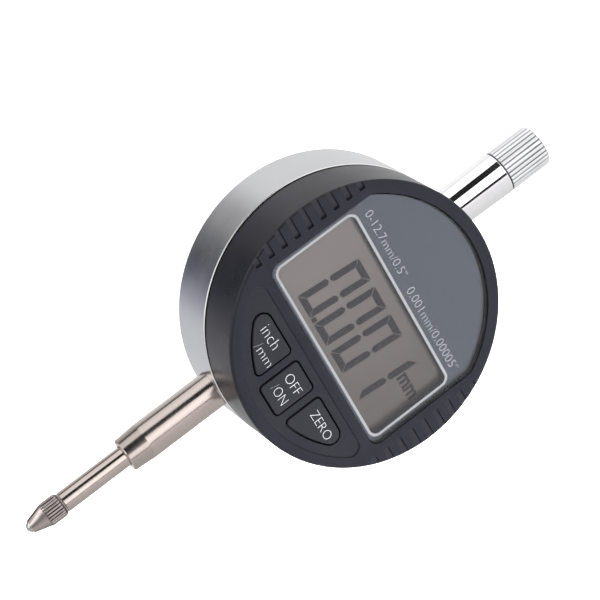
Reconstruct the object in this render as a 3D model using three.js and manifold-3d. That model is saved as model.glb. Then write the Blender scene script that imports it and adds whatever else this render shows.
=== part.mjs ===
// A digital dial indicator with 12.7 mm of travel. A metal case carries the stem, the measuring spindle and the
// reading head. A display unit, with its window, buttons and battery drawer, turns on the front of the case.
//
// Millimetres. Z = 0 is the outer face of the back cover and +Z points out of the display. The spindle runs
// along Y, with the lifting knob at +Y and the contact point at -Y.
import * as THREE from 'three';
import { mergeVertices } from 'three/addons/utils/BufferGeometryUtils.js';
import Module from 'manifold-3d';

const wasm = await Module();
wasm.setup();

// ---------------------------------------------------------------- driving dimensions

const CASE_RADIUS = 30.15;
const CASE_INNER_RADIUS = 27.3;
const CASE_BACK_Z = 0.25; // the rim stands this far in front of the back cover's face
const CASE_EDGE = 0.5; // chamfers on the case's two rims
const SEAM_Z = 13.1; // middle of the gap between the case and the display unit
const SEAM_GAP = 0.3;
const HOUSING_RADIUS = 30.05;
const HOUSING_INNER_RADIUS = 28;
const FACE_Z = 25.5;
const FRONT_WALL = 2.3;

const SPINDLE_Z = 7.8;
const SPINDLE_RADIUS = 2.25;
const TRAVEL = 12.7;
const STEM_RADIUS = 4;
const STEM_TIP_RADIUS = 3.68;
const STEM_TAPER_LENGTH = 5;
const STEM_END_Y = -52.5;
const STEM_MOUTH_LENGTH = 1.2;
const TUBE_BORE = 3; // inside the stem and the sleeve
const TIP_Y = -76.8; // lowest point of the contact ball
const BALL_RADIUS = 1.25;
const NOSE_RADIUS = 1.45; // the contact point's body where it closes round the ball
const GRIP_RADIUS = 2.6; // and at its knurled grip
const GRIP_END = 0.7; // the grip's chamfer at the spindle
const SLEEVE_RADIUS = 4.5;
const SLEEVE_TOP_RADIUS = 4.82;
const SLEEVE_TOP_Y = 45.4;
const SLEEVE_BEVEL = 0.25;
const KNOB_RADIUS = 4.78;
const KNOB_LOW_Y = 45.55;
const KNOB_TOP_Y = 55.5;
const KNOB_FLUTES = 30;

const WINDOW_HALF_WIDTH = 23.3;
const WINDOW_LOW_Y = -11.5;
const WINDOW_ARC_RADIUS = 27.1;
const WINDOW_CORNER = 2;
const OPENING_HALF_WIDTH = 21.8; // the clear part of the window, over the display
const OPENING_LOW_Y = -10.25;
const OPENING_HIGH_Y = 8.85;
const OPENING_CORNER = 1.5;

const BUTTON_TOP_Y = -15.85;
const BUTTON_ARC_RADIUS = 25.4;
const SIDE_BUTTON_INNER_X = 5.85;
const SIDE_BUTTON_OUTER_CORNER = 2.1;
const BUTTON_CORNER = 1;
const MIDDLE_BUTTON_HALF_WIDTH = 3.85;
const MIDDLE_BUTTON_LOW_Y = -25.45;
const BUTTON_GROOVE = 0.3; // between a button and the edge of its hole
const BUTTON_TRAVEL = 0.5;
const BUTTON_FLANGE = 0.4; // how far the hidden flange reaches beyond the outline

const PANEL_TOP_Y = -13.9; // the shallow crescent that the buttons stand in
const PANEL_RADIUS = 27.6;
const PANEL_CORNER = 2;
const PANEL_DEPTH = 0.25;

const NOTCH_PITCH = 3.2; // finger grips on both sides of the face
const NOTCH_WIDTH = 1.3;
const NOTCH_DEPTH = 0.5;
const NOTCH_INNER_X = 25.4;
const NOTCHES_EACH_SIDE = 9;

const COIN_RADIUS = 10; // CR2032 cell
const COIN_HEIGHT = 3.2;
const DRAWER_ANGLE = Math.PI / 6; // the battery drawer's direction, from +X

const FIT = 0.05; // running clearance on radius
const GAP = 0.1; // between pieces that rest on each other
const CLEAR = 0.2; // round pieces that drop into a pocket

const RIM_STEPS = 60; // facets of the case's and display unit's circles
const PLATE_STEPS = 36; // and of the discs and rings hidden inside
const STEM_STEPS = 24;
const ROD_STEPS = 16;
const SCREW_STEPS = 10;
const CORNER_STEPS = 4;

// ---------------------------------------------------------------- levels worked out from them

const CASE_FRONT_Z = SEAM_Z - SEAM_GAP / 2;
const HOUSING_BACK_Z = SEAM_Z + SEAM_GAP / 2;
const CEILING_Z = FACE_Z - FRONT_WALL; // inner side of the display unit's front wall
const COVER_THICKNESS = 1.6;
const GASKET_Z = [COVER_THICKNESS + FIT, COVER_THICKNESS + 0.5];
const LEDGE_Z = GASKET_Z[1] + GAP; // what the cover and its gasket close against
const COVER_RADIUS = 28.7;
const COUNTERBORE_DEPTH = 1;
const BOSS_DISTANCE = 25.4;
const BOSS_RADIUS = 2.1;
const BOSS_TOP_Z = 10.3;
const CHASSIS_Z = [2.6, 3.6];
const BOARD_Z = [CHASSIS_Z[1] + GAP, CHASSIS_Z[1] + GAP + 0.6];
const SCALE_Z = [BOARD_Z[1] + 0.15, BOARD_Z[1] + 0.65];
const CARRIAGE_Z = [SCALE_Z[1] + FIT, 11.2];
const CARRIAGE_Y = [-6, 4];
const SPIGOT_Z = 10.9; // lower edge of the display unit's spigot, above the spindle
const SPIGOT_RADIUS = [25.6, 27.1];
const SNAP_RING_Z = 11.6;
const SNAP_RING_RADIUS = 27.15;
const SNAP_WIRE_RADIUS = 0.45;
const BASE_Z = [HOUSING_BACK_Z + FIT, 14.45];
const TRAY_Z = [BASE_Z[1] + 0.25, BASE_Z[1] + 3.65];
const PCB_Z = [TRAY_Z[1] + CLEAR, TRAY_Z[1] + CLEAR + 1];
const LCD_Z = [21.65, CEILING_Z];
const PLATE_Z = [CEILING_Z + 0.15, 24.5];
const LENS_Z = [PLATE_Z[1] + GAP, FACE_Z - FIT];
const BUTTON_FLANGE_Z = [CEILING_Z - 1, CEILING_Z - GAP];
const KEYPAD_Z = [20.6, BUTTON_FLANGE_Z[0] - BUTTON_TRAVEL - GAP];
const SEAT_Y = 28.2; // the stem and the sleeve are seated in the case wall at this distance
const COIN_X = 15.5; // the cell's centre, along the drawer's direction

// ---------------------------------------------------------------- geometry helpers

// One welded surface with its faces outwards, so that a profile may be written in either direction.
function closed(geometry) {
  const bare = geometry.index ? geometry.toNonIndexed() : geometry.clone();
  bare.deleteAttribute('normal');
  bare.deleteAttribute('uv');
  const welded = mergeVertices(bare, 1e-4);
  const corner = [0, 1, 2].map(() => new THREE.Vector3());
  const kept = [];
  let volume = 0;
  for (let i = 0; i < welded.index.count; i += 3) {
    const face = [0, 1, 2].map((k) => welded.index.getX(i + k));
    if (new Set(face).size < 3) continue;
    face.forEach((v, k) => corner[k].fromBufferAttribute(welded.attributes.position, v));
    volume += corner[0].dot(corner[1].clone().cross(corner[2]));
    kept.push(face);
  }
  const facing = volume < 0 ? kept.map(([a, b, c]) => [a, c, b]) : kept;
  return welded.setIndex(facing.flat());
}

function toSolid(geometry) {
  const surface = closed(geometry);
  const vertProperties = surface.attributes.position.array;
  const triVerts = Uint32Array.from(surface.index.array);
  return new wasm.Manifold(new wasm.Mesh({ numProp: 3, vertProperties, triVerts }));
}

function fromSolid(solid) {
  const mesh = solid.getMesh();
  const geometry = new THREE.BufferGeometry();
  geometry.setAttribute('position', new THREE.BufferAttribute(mesh.vertProperties, mesh.numProp));
  return geometry.setIndex(new THREE.BufferAttribute(mesh.triVerts, 1));
}

function join(...pieces) {
  return fromSolid(pieces.map(toSolid).reduce((whole, next) => whole.add(next)));
}

function cut(blank, ...tools) {
  return fromSolid(tools.map(toSolid).reduce((left, tool) => left.subtract(tool), toSolid(blank)));
}

// Profiles are lists of [radius, height].
function turned(profile, steps) {
  return closed(new THREE.LatheGeometry(profile.map(([r, h]) => new THREE.Vector2(r, h)), steps));
}

function turnedOnZ(profile, steps = RIM_STEPS) {
  return turned(profile, steps).rotateX(Math.PI / 2);
}

function turnedOnSpindle(profile, steps = ROD_STEPS) {
  return turned(profile, steps).translate(0, 0, SPINDLE_Z);
}

function ringProfile(innerRadius, outerRadius, [low, high]) {
  return [[innerRadius, low], [outerRadius, low], [outerRadius, high], [innerRadius, high], [innerRadius, low]];
}

function rodProfile(radius, [low, high]) {
  return [[0, low], [radius, low], [radius, high], [0, high]];
}

function rod(x, y, radius, heights, steps = SCREW_STEPS) {
  return turnedOnZ(rodProfile(radius, heights), steps).translate(x, y, 0);
}

function block([x0, x1], [y0, y1], [z0, z1]) {
  const box = new THREE.BoxGeometry(x1 - x0, y1 - y0, z1 - z0);
  return box.translate((x0 + x1) / 2, (y0 + y1) / 2, (z0 + z1) / 2);
}

function prism(outline, [low, high]) {
  const shape = new THREE.Shape(outline);
  const extruded = new THREE.ExtrudeGeometry(shape, { depth: high - low, bevelEnabled: false });
  return closed(extruded).translate(0, 0, low);
}

function arc(x, y, radius, from, to, steps = CORNER_STEPS) {
  return Array.from({ length: steps + 1 }, (_, i) => {
    const angle = from + ((to - from) * i) / steps;
    return new THREE.Vector2(x + radius * Math.cos(angle), y + radius * Math.sin(angle));
  });
}

function roundedRectangle([x0, x1], [y0, y1], corner) {
  const turn = Math.PI / 2;
  return [
    ...arc(x1 - corner, y0 + corner, corner, -turn, 0),
    ...arc(x1 - corner, y1 - corner, corner, 0, turn),
    ...arc(x0 + corner, y1 - corner, corner, turn, 2 * turn),
    ...arc(x0 + corner, y0 + corner, corner, 2 * turn, 3 * turn),
  ];
}

function polar(distance, angle) {
  return [distance * Math.cos(angle), distance * Math.sin(angle)];
}

// A screw along Z, its head's underside at height 0 and its shank below; slots is 1 for a plain slot, 2 for a cross.
function screw({ head, headHeight, shank, length, slots }) {
  const body = turnedOnZ(
    [[0, -length], [shank, -length], [shank, 0], [head, 0], [head, headHeight], [0, headHeight]],
    SCREW_STEPS,
  );
  const slotHalfWidth = head * 0.15;
  const slotHalfLength = slots === 1 ? head * 1.2 : head * 0.6;
  const slotHeights = [headHeight * 0.45, headHeight * 2];
  const across = [-slotHalfWidth, slotHalfWidth];
  const along = [-slotHalfLength, slotHalfLength];
  const slot = block(along, across, slotHeights);
  return slots === 1 ? cut(body, slot) : cut(body, slot, block(across, along, slotHeights));
}

// ---------------------------------------------------------------- outlines of the face

// The window's outline: straight sides and bottom, and a top edge concentric with the case.
function windowOutline(grow) {
  const radius = WINDOW_ARC_RADIUS + grow;
  const corner = WINDOW_CORNER + grow;
  const cornerX = WINDOW_HALF_WIDTH - WINDOW_CORNER;
  const lowY = WINDOW_LOW_Y + WINDOW_CORNER;
  const highY = Math.sqrt((radius - corner) ** 2 - cornerX ** 2);
  const arcStart = Math.atan2(highY, cornerX);
  return [
    ...arc(cornerX, lowY, corner, -Math.PI / 2, 0),
    ...arc(cornerX, highY, corner, 0, arcStart, 3),
    ...arc(0, 0, radius, arcStart, Math.PI - arcStart, 24).slice(1, -1),
    ...arc(-cornerX, highY, corner, Math.PI - arcStart, Math.PI, 3),
    ...arc(-cornerX, lowY, corner, Math.PI, 1.5 * Math.PI),
  ];
}

function openingOutline() {
  const sides = [-OPENING_HALF_WIDTH, OPENING_HALF_WIDTH];
  return roundedRectangle(sides, [OPENING_LOW_Y, OPENING_HIGH_Y], OPENING_CORNER);
}

// The right-hand button: flat top and inner side, and an outer edge concentric with the case.
function sideButtonOutline(grow) {
  const radius = BUTTON_ARC_RADIUS + grow;
  const corner = BUTTON_CORNER + grow;
  const outerCorner = SIDE_BUTTON_OUTER_CORNER + grow;
  const innerX = SIDE_BUTTON_INNER_X + BUTTON_CORNER;
  const tipY = -Math.sqrt((radius - corner) ** 2 - innerX ** 2);
  const outerY = BUTTON_TOP_Y - SIDE_BUTTON_OUTER_CORNER;
  const outerX = Math.sqrt((radius - outerCorner) ** 2 - outerY ** 2);
  const arcStart = Math.atan2(tipY, innerX);
  const arcEnd = Math.atan2(outerY, outerX);
  return [
    ...arc(innerX, tipY, corner, -Math.PI, arcStart),
    ...arc(0, 0, radius, arcStart, arcEnd, 8).slice(1, -1),
    ...arc(outerX, outerY, outerCorner, arcEnd, Math.PI / 2, 6),
    ...arc(innerX, BUTTON_TOP_Y - BUTTON_CORNER, corner, Math.PI / 2, Math.PI),
  ];
}

function middleButtonOutline(grow) {
  const halfWidth = MIDDLE_BUTTON_HALF_WIDTH + grow;
  const heights = [MIDDLE_BUTTON_LOW_Y - grow, BUTTON_TOP_Y + grow];
  return roundedRectangle([-halfWidth, halfWidth], heights, BUTTON_CORNER + grow);
}

// A crescent with its flat edge up, between topY and a circle about the case's axis.
function crescentOutline(topY, radius, corner) {
  const cornerY = topY - corner;
  const cornerX = Math.sqrt((radius - corner) ** 2 - cornerY ** 2);
  const arcEnd = Math.atan2(cornerY, cornerX);
  return [
    ...arc(0, 0, radius, -Math.PI - arcEnd, arcEnd, 18),
    ...arc(cornerX, cornerY, corner, arcEnd, Math.PI / 2).slice(1),
    ...arc(-cornerX, cornerY, corner, Math.PI / 2, Math.PI - arcEnd).slice(0, -1),
  ];
}

// ---------------------------------------------------------------- materials

function material(color, roughness, metalness) {
  return new THREE.MeshStandardMaterial({ color, roughness, metalness });
}

const satinSteel = () => material(0xb9bcc4, 0.38, 1);
const brightSteel = () => material(0xc9c6c4, 0.22, 1);
const chrome = () => material(0xe6e7ea, 0.08, 1);
const springSteel = () => material(0x8d8f93, 0.35, 1);
const screwSteel = () => material(0x6d6f74, 0.4, 1);
const carbide = () => material(0x77787c, 0.25, 1);
const bronze = () => material(0xb08a4e, 0.4, 1);
const aluminium = () => material(0xc4c7cb, 0.45, 1);
const darkPlastic = () => material(0x3a3a40, 0.55, 0);
const buttonPlastic = () => material(0x3c3c43, 0.5, 0);
const rubber = () => material(0x1c1c1e, 0.85, 0);
const greyPlate = () => material(0x6f7479, 0.3, 0);
const displayGlass = () => material(0x8a8780, 0.25, 0);
const holderPlastic = () => material(0xd8d6cf, 0.6, 0);
const circuitBoard = () => material(0x1f5c3a, 0.5, 0);
const chipPlastic = () => material(0x18181a, 0.6, 0);
const flexFilm = () => material(0xb9772b, 0.4, 0);
const silicone = () => material(0x5b5d60, 0.7, 0);

function clearAcrylic() {
  const lens = material(0xf2f4f5, 0.05, 0);
  lens.transparent = true;
  lens.opacity = 0.35;
  return lens;
}

function node(name, geometry, finish) {
  const faceted = geometry.index ? geometry.toNonIndexed() : geometry;
  faceted.computeVertexNormals();
  const mesh = new THREE.Mesh(faceted, finish);
  mesh.name = name;
  return mesh;
}

// ---------------------------------------------------------------- case

const BOSS_ANGLES = [0, 1, 2, 3].map((i) => (i + 0.5) * (Math.PI / 2));
const BACK_SCREW = { head: 1.85, headHeight: 0.75, shank: 1, length: 5, slots: 2 };
const CHASSIS_SCREW = { head: 1.5, headHeight: 0.7, shank: 0.8, length: 3.8, slots: 1 };
const CHASSIS_SCREW_X = 20.6;
const LUG = { innerX: 18.8, halfWidth: 3.5, topZ: 8 };
const STOP_PIN = { distance: 24.3, radius: 0.8, heights: [8.3, 12.6] };

function caseBody() {
  const backRebate = COVER_RADIUS + CLEAR;
  const grooveRadius = SNAP_RING_RADIUS + SNAP_WIRE_RADIUS + 0.25;
  const grooveZ = [SNAP_RING_Z - SNAP_WIRE_RADIUS - GAP, SNAP_RING_Z + SNAP_WIRE_RADIUS + GAP];
  const ring = turnedOnZ([
    [backRebate, CASE_BACK_Z],
    [CASE_RADIUS - CASE_EDGE, CASE_BACK_Z],
    [CASE_RADIUS, CASE_BACK_Z + CASE_EDGE],
    [CASE_RADIUS, CASE_FRONT_Z - CASE_EDGE],
    [CASE_RADIUS - CASE_EDGE, CASE_FRONT_Z],
    [CASE_INNER_RADIUS, CASE_FRONT_Z],
    [CASE_INNER_RADIUS, grooveZ[1]],
    [grooveRadius, grooveZ[1]],
    [grooveRadius, grooveZ[0]],
    [CASE_INNER_RADIUS, grooveZ[0]],
    [CASE_INNER_RADIUS, LEDGE_Z],
    [backRebate, LEDGE_Z],
    [backRebate, CASE_BACK_Z],
  ]);
  const bosses = BOSS_ANGLES.map((a) => rod(...polar(BOSS_DISTANCE, a), BOSS_RADIUS, [LEDGE_Z, BOSS_TOP_Z]));
  const bossHoles = BOSS_ANGLES.map((a) => {
    return rod(...polar(BOSS_DISTANCE, a), BACK_SCREW.shank + GAP, [0, BACK_SCREW.length + 1.5]);
  });
  const lugZ = [CHASSIS_Z[1] + GAP, LUG.topZ];
  const lugs = [-1, 1].map((side) => {
    const reach = [side * LUG.innerX, side * (CASE_INNER_RADIUS + CASE_EDGE)].sort((a, b) => a - b);
    return block(reach, [-LUG.halfWidth, LUG.halfWidth], lugZ);
  });
  const lugHoles = [-1, 1].map((side) => {
    return rod(side * CHASSIS_SCREW_X, 0, CHASSIS_SCREW.shank + GAP, [0, LUG.topZ - 1]);
  });
  const clearHole = turnedOnSpindle(rodProfile(TUBE_BORE, [-SEAT_Y - 1, SEAT_Y + 1]));
  const stemSeat = turnedOnSpindle(rodProfile(STEM_RADIUS + FIT, [-CASE_RADIUS - 1, -SEAT_Y]), STEM_STEPS);
  const sleeveSeat = turnedOnSpindle(rodProfile(SLEEVE_RADIUS + FIT, [SEAT_Y, CASE_RADIUS + 1]), STEM_STEPS);
  const pinHole = rod(
    ...polar(STOP_PIN.distance, BOSS_ANGLES[2]),
    STOP_PIN.radius + FIT,
    [STOP_PIN.heights[0] - GAP, BOSS_TOP_Z + 1],
  );
  return cut(join(ring, ...bosses, ...lugs), ...bossHoles, ...lugHoles, clearHole, stemSeat, sleeveSeat, pinHole);
}

function backCover() {
  const bevel = 0.4;
  const disc = turnedOnZ([
    [0, 0],
    [COVER_RADIUS - bevel, 0],
    [COVER_RADIUS, bevel],
    [COVER_RADIUS, COVER_THICKNESS],
    [0, COVER_THICKNESS],
  ]);
  const counterbores = BOSS_ANGLES.map((a) => {
    return rod(...polar(BOSS_DISTANCE, a), BACK_SCREW.head + CLEAR, [-1, COUNTERBORE_DEPTH]);
  });
  const holes = BOSS_ANGLES.map((a) => {
    return rod(...polar(BOSS_DISTANCE, a), BACK_SCREW.shank + CLEAR, [0, COVER_THICKNESS + 1]);
  });
  return cut(disc, ...counterbores, ...holes);
}

function backScrew(angle) {
  const underHead = COUNTERBORE_DEPTH - GAP;
  return screw(BACK_SCREW).rotateX(Math.PI).translate(...polar(BOSS_DISTANCE, angle), underHead);
}

// The stem: an 8 mm clamping diameter with a tapered end, bored for its bush and necked at the mouth.
function stem() {
  const innerEndY = -SEAT_Y - FIT;
  const mouthY = STEM_END_Y + STEM_MOUTH_LENGTH;
  const mouth = SPINDLE_RADIUS + CLEAR;
  return turnedOnSpindle([
    [TUBE_BORE, innerEndY],
    [STEM_RADIUS, innerEndY],
    [STEM_RADIUS, STEM_END_Y + STEM_TAPER_LENGTH],
    [STEM_TIP_RADIUS, STEM_END_Y],
    [mouth, STEM_END_Y],
    [mouth, mouthY],
    [TUBE_BORE, mouthY],
    [TUBE_BORE, innerEndY],
  ], STEM_STEPS);
}

// The upper sleeve: straight where it is seated in the case, then a slight cone that widens to the knob.
function topSleeve() {
  const innerEndY = SEAT_Y + FIT;
  return turnedOnSpindle([
    [TUBE_BORE, innerEndY],
    [SLEEVE_RADIUS, innerEndY],
    [SLEEVE_RADIUS, CASE_RADIUS + CASE_EDGE],
    [SLEEVE_TOP_RADIUS, SLEEVE_TOP_Y - SLEEVE_BEVEL],
    [SLEEVE_TOP_RADIUS - SLEEVE_BEVEL, SLEEVE_TOP_Y],
    [TUBE_BORE, SLEEVE_TOP_Y],
    [TUBE_BORE, innerEndY],
  ], STEM_STEPS);
}

const BUSH_RADIUS = TUBE_BORE - FIT;
const BUSH_BORE = SPINDLE_RADIUS + FIT;
const WIPER_Y = [STEM_END_Y + STEM_MOUTH_LENGTH + FIT, STEM_END_Y + STEM_MOUTH_LENGTH + 0.95];
const LOWER_BUSH_Y = [WIPER_Y[1] + GAP, -38];
const UPPER_BUSH_Y = [26.8, 44];
const SPRING_INNER_RADIUS = 2.5;
const SPRING_Y = [CARRIAGE_Y[1] + FIT, UPPER_BUSH_Y[0] - FIT];

function snapRing() {
  const wireSides = 6;
  const wire = Array.from({ length: wireSides + 1 }, (_, i) => {
    const [across, up] = polar(SNAP_WIRE_RADIUS, (i * 2 * Math.PI) / wireSides);
    return [SNAP_RING_RADIUS + across, SNAP_RING_Z + up];
  });
  const splitHalf = 3;
  const split = block(
    [-splitHalf, splitHalf],
    [-SNAP_RING_RADIUS - 1, -SNAP_RING_RADIUS + 1],
    [SNAP_RING_Z - 1, SNAP_RING_Z + 1],
  );
  return cut(turnedOnZ(wire, PLATE_STEPS), split);
}

// ---------------------------------------------------------------- chassis and reading head

const RAIL = { x: [8.8, 12.6], y: [-15, 21], z: [CHASSIS_Z[1] + GAP, 9.8] };
const RAIL_X = (RAIL.x[0] + RAIL.x[1]) / 2;
const RAIL_SCREW = { head: 1.4, headHeight: 0.7, shank: 0.7, length: 6.9, slots: 1 };
const RAIL_SCREW_Y = [-12, 18];
const BOARD = { x: [-9, 6], y: [-15, 22.5] };
const BOARD_SCREW = { head: 1.4, headHeight: 0.5, shank: 0.7, length: 1.5, slots: 1 };
const BOARD_SCREW_Y = [-12.5, 20.3];
const GUIDE_PIN_RADIUS = 0.75;
const GUIDE_PIN_Y = -1;
const CHASSIS_RADIUS = 22.8;
const FLEX_THICKNESS = 0.3;

// Places where screws pass through: [x, y, shank radius] of the lugs, the rail and the sensor board.
const CHASSIS_HOLES = [
  ...[-1, 1].map((side) => [side * CHASSIS_SCREW_X, 0, CHASSIS_SCREW.shank]),
  ...RAIL_SCREW_Y.map((y) => [RAIL_X, y, RAIL_SCREW.shank]),
  ...BOARD_SCREW_Y.map((y) => [0, y, BOARD_SCREW.shank]),
];

function chassisPlate() {
  const disc = turnedOnZ(rodProfile(CHASSIS_RADIUS, CHASSIS_Z), PLATE_STEPS);
  const through = [CHASSIS_Z[0] - 1, CHASSIS_Z[1] + 1];
  return cut(disc, ...CHASSIS_HOLES.map(([x, y, shank]) => rod(x, y, shank + GAP, through)));
}

function guideRail() {
  const bar = block(RAIL.x, RAIL.y, RAIL.z);
  const slotHalf = GUIDE_PIN_RADIUS + GAP;
  const slotEnd = 2; // beyond the pin's middle at each end of the travel
  const slotWall = 0.6;
  const slotY = [GUIDE_PIN_Y - slotEnd, GUIDE_PIN_Y + TRAVEL + slotEnd];
  const slot = block([RAIL.x[0] - 1, RAIL.x[1] - slotWall], slotY, [SPINDLE_Z - slotHalf, SPINDLE_Z + slotHalf]);
  const through = [RAIL.z[0] - 1, RAIL.z[1] + 1];
  const holes = RAIL_SCREW_Y.map((y) => rod(RAIL_X, y, RAIL_SCREW.shank + GAP, through));
  return cut(bar, slot, ...holes);
}

function sensorBoard() {
  const through = [BOARD_Z[0] - 1, BOARD_Z[1] + 1];
  const holes = BOARD_SCREW_Y.map((y) => rod(0, y, BOARD_SCREW.shank + GAP, through));
  return cut(prism(roundedRectangle(BOARD.x, BOARD.y, 1), BOARD_Z), ...holes);
}

// The flat cable's fixed end: up from the sensor board, then over towards the middle.
function flexTail() {
  const topZ = CASE_FRONT_Z - GAP;
  const leftX = -7.5;
  const across = [-2.5, 2.5];
  const upright = block([leftX, leftX + FLEX_THICKNESS], across, [BOARD_Z[1] + GAP, topZ]);
  return join(upright, block([leftX, leftX + 3], across, [topZ - FLEX_THICKNESS, topZ]));
}

// ---------------------------------------------------------------- spindle

const SPINDLE_FRONT_Y = -68;
const SPINDLE_TOP_Y = 52;
const SPINDLE_EDGE = 0.15;
const STUD = { radius: 1.2, length: 5 };
const CARRIAGE_SCREW_Y = -3.5;
const CARRIAGE_SCREW = { head: 1.6, headHeight: 0.8, shank: 0.9, length: 1, slots: 1 };

function spindleRod() {
  const studHole = [STUD.radius + FIT, SPINDLE_FRONT_Y + STUD.length + 0.5];
  return turnedOnSpindle([
    [studHole[0], SPINDLE_FRONT_Y],
    [SPINDLE_RADIUS - SPINDLE_EDGE, SPINDLE_FRONT_Y],
    [SPINDLE_RADIUS, SPINDLE_FRONT_Y + SPINDLE_EDGE],
    [SPINDLE_RADIUS, SPINDLE_TOP_Y],
    [0, SPINDLE_TOP_Y],
    [0, studHole[1]],
    studHole,
    [studHole[0], SPINDLE_FRONT_Y],
  ]);
}

// The contact point's body: a cone down to the ball, a knurled grip, and a stud into the spindle.
function contactHolder() {
  const ballY = TIP_Y + BALL_RADIUS;
  const socket = BALL_RADIUS + FIT;
  const noseY = TIP_Y + 0.9;
  const rearY = SPINDLE_FRONT_Y - GAP;
  const mouthAngle = Math.asin((noseY - ballY) / socket);
  const socketSteps = 4;
  const socketArc = Array.from({ length: socketSteps + 1 }, (_, i) => {
    const angle = mouthAngle + ((Math.PI / 2 - mouthAngle) * i) / socketSteps;
    return [socket * Math.cos(angle), ballY + socket * Math.sin(angle)];
  });
  return turnedOnSpindle([
    ...socketArc.slice(0, -1),
    [0, ballY + socket],
    [0, rearY + STUD.length],
    [STUD.radius, rearY + STUD.length],
    [STUD.radius, rearY],
    [SPINDLE_RADIUS, rearY],
    [GRIP_RADIUS, rearY - GRIP_END],
    [GRIP_RADIUS, TIP_Y + 5],
    [NOSE_RADIUS, noseY],
    socketArc[0],
  ]);
}

function carriage() {
  const halfWidth = 5.5;
  const body = block([-halfWidth, halfWidth], CARRIAGE_Y, CARRIAGE_Z);
  const bore = turnedOnSpindle(rodProfile(SPINDLE_RADIUS + FIT, [CARRIAGE_Y[0] - 1, CARRIAGE_Y[1] + 1]));
  const screwHole = rod(0, CARRIAGE_SCREW_Y, CARRIAGE_SCREW.shank + GAP, [SPINDLE_Z, CARRIAGE_Z[1] + 1]);
  const pinHole = guidePin(GUIDE_PIN_RADIUS + FIT, [SPINDLE_RADIUS, halfWidth + 1]);
  return cut(body, bore, screwHole, pinHole);
}

function guidePin(radius, reach) {
  return turnedOnZ(rodProfile(radius, reach), SCREW_STEPS)
    .rotateY(Math.PI / 2)
    .translate(0, GUIDE_PIN_Y, SPINDLE_Z);
}

const RING_Y = [SLEEVE_TOP_Y + FIT, SLEEVE_TOP_Y + 0.45];
const RING_RADIUS = 4.2;

// The lifting knob: fluted, bored for the spindle, with a recess for the rubber ring that lands on the sleeve.
function liftingKnob() {
  const valley = KNOB_RADIUS - 0.25;
  const outline = Array.from({ length: KNOB_FLUTES * 4 }, (_, i) => {
    const radius = i % 4 < 2 ? KNOB_RADIUS : valley;
    return new THREE.Vector2(...polar(radius, ((i + 0.5) * Math.PI) / (KNOB_FLUTES * 2)));
  });
  const fluted = prism(outline, [-KNOB_TOP_Y, -KNOB_LOW_Y]).rotateX(Math.PI / 2).translate(0, 0, SPINDLE_Z);
  const bore = turnedOnSpindle(rodProfile(SPINDLE_RADIUS + FIT, [KNOB_LOW_Y - 1, SPINDLE_TOP_Y + GAP]));
  const recess = turnedOnSpindle(rodProfile(RING_RADIUS + GAP, [KNOB_LOW_Y - 1, RING_Y[1] + FIT]), STEM_STEPS);
  return cut(fluted, bore, recess);
}

// ---------------------------------------------------------------- display unit

const BASE_SCREW = { head: 1.8, headHeight: 0.65, shank: 0.8, length: 3, slots: 2 };
const BASE_SCREW_DISTANCE = 24;
const BASE_SCREW_ANGLES = [100, 205, 335].map(THREE.MathUtils.degToRad);
const BASE_SCREW_Z = BASE_Z[0] + BASE_SCREW.headHeight + GAP;
const PCB_SCREW = { head: 1.5, headHeight: 0.6, shank: 0.8, length: 3, slots: 1 };
const PCB_SCREW_X = 20.5;
const PCB_SCREW_Y = -16.5;
const DRAWER_HALF_WIDTH = 11.5;
const BASE_HOLE_RADIUS = 6.5;
const POST_RADIUS = 1.8;
const PCB_RADIUS = 27.3;
const HOUSING_EDGE = 0.75; // the rounded front edge, as two chamfers
const HOUSING_EDGE_MIDDLE = 0.22;

function inDrawerDirection(geometry) {
  return geometry.rotateZ(DRAWER_ANGLE);
}

function gripNotches() {
  const middle = (NOTCHES_EACH_SIDE - 1) / 2;
  return Array.from({ length: NOTCHES_EACH_SIDE }, (_, i) => {
    const y = (i - middle) * NOTCH_PITCH;
    const across = [y - NOTCH_WIDTH / 2, y + NOTCH_WIDTH / 2];
    const depth = [FACE_Z - NOTCH_DEPTH, FACE_Z + 1];
    const right = block([NOTCH_INNER_X, HOUSING_RADIUS + 1], across, depth);
    const left = block([-HOUSING_RADIUS - 1, -NOTCH_INNER_X], across, depth);
    return [right, left];
  }).flat();
}

// Posts for the base's screws, each webbed to the side wall.
function basePosts() {
  const heights = [BASE_Z[1] + GAP, PCB_Z[0] - GAP];
  return BASE_SCREW_ANGLES.flatMap((angle) => {
    const post = rod(...polar(BASE_SCREW_DISTANCE, angle), POST_RADIUS, heights);
    const across = [-BASE_SCREW.shank, BASE_SCREW.shank];
    const web = block([BASE_SCREW_DISTANCE, HOUSING_INNER_RADIUS + 0.5], across, heights).rotateZ(angle);
    return [post, web];
  });
}

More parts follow.
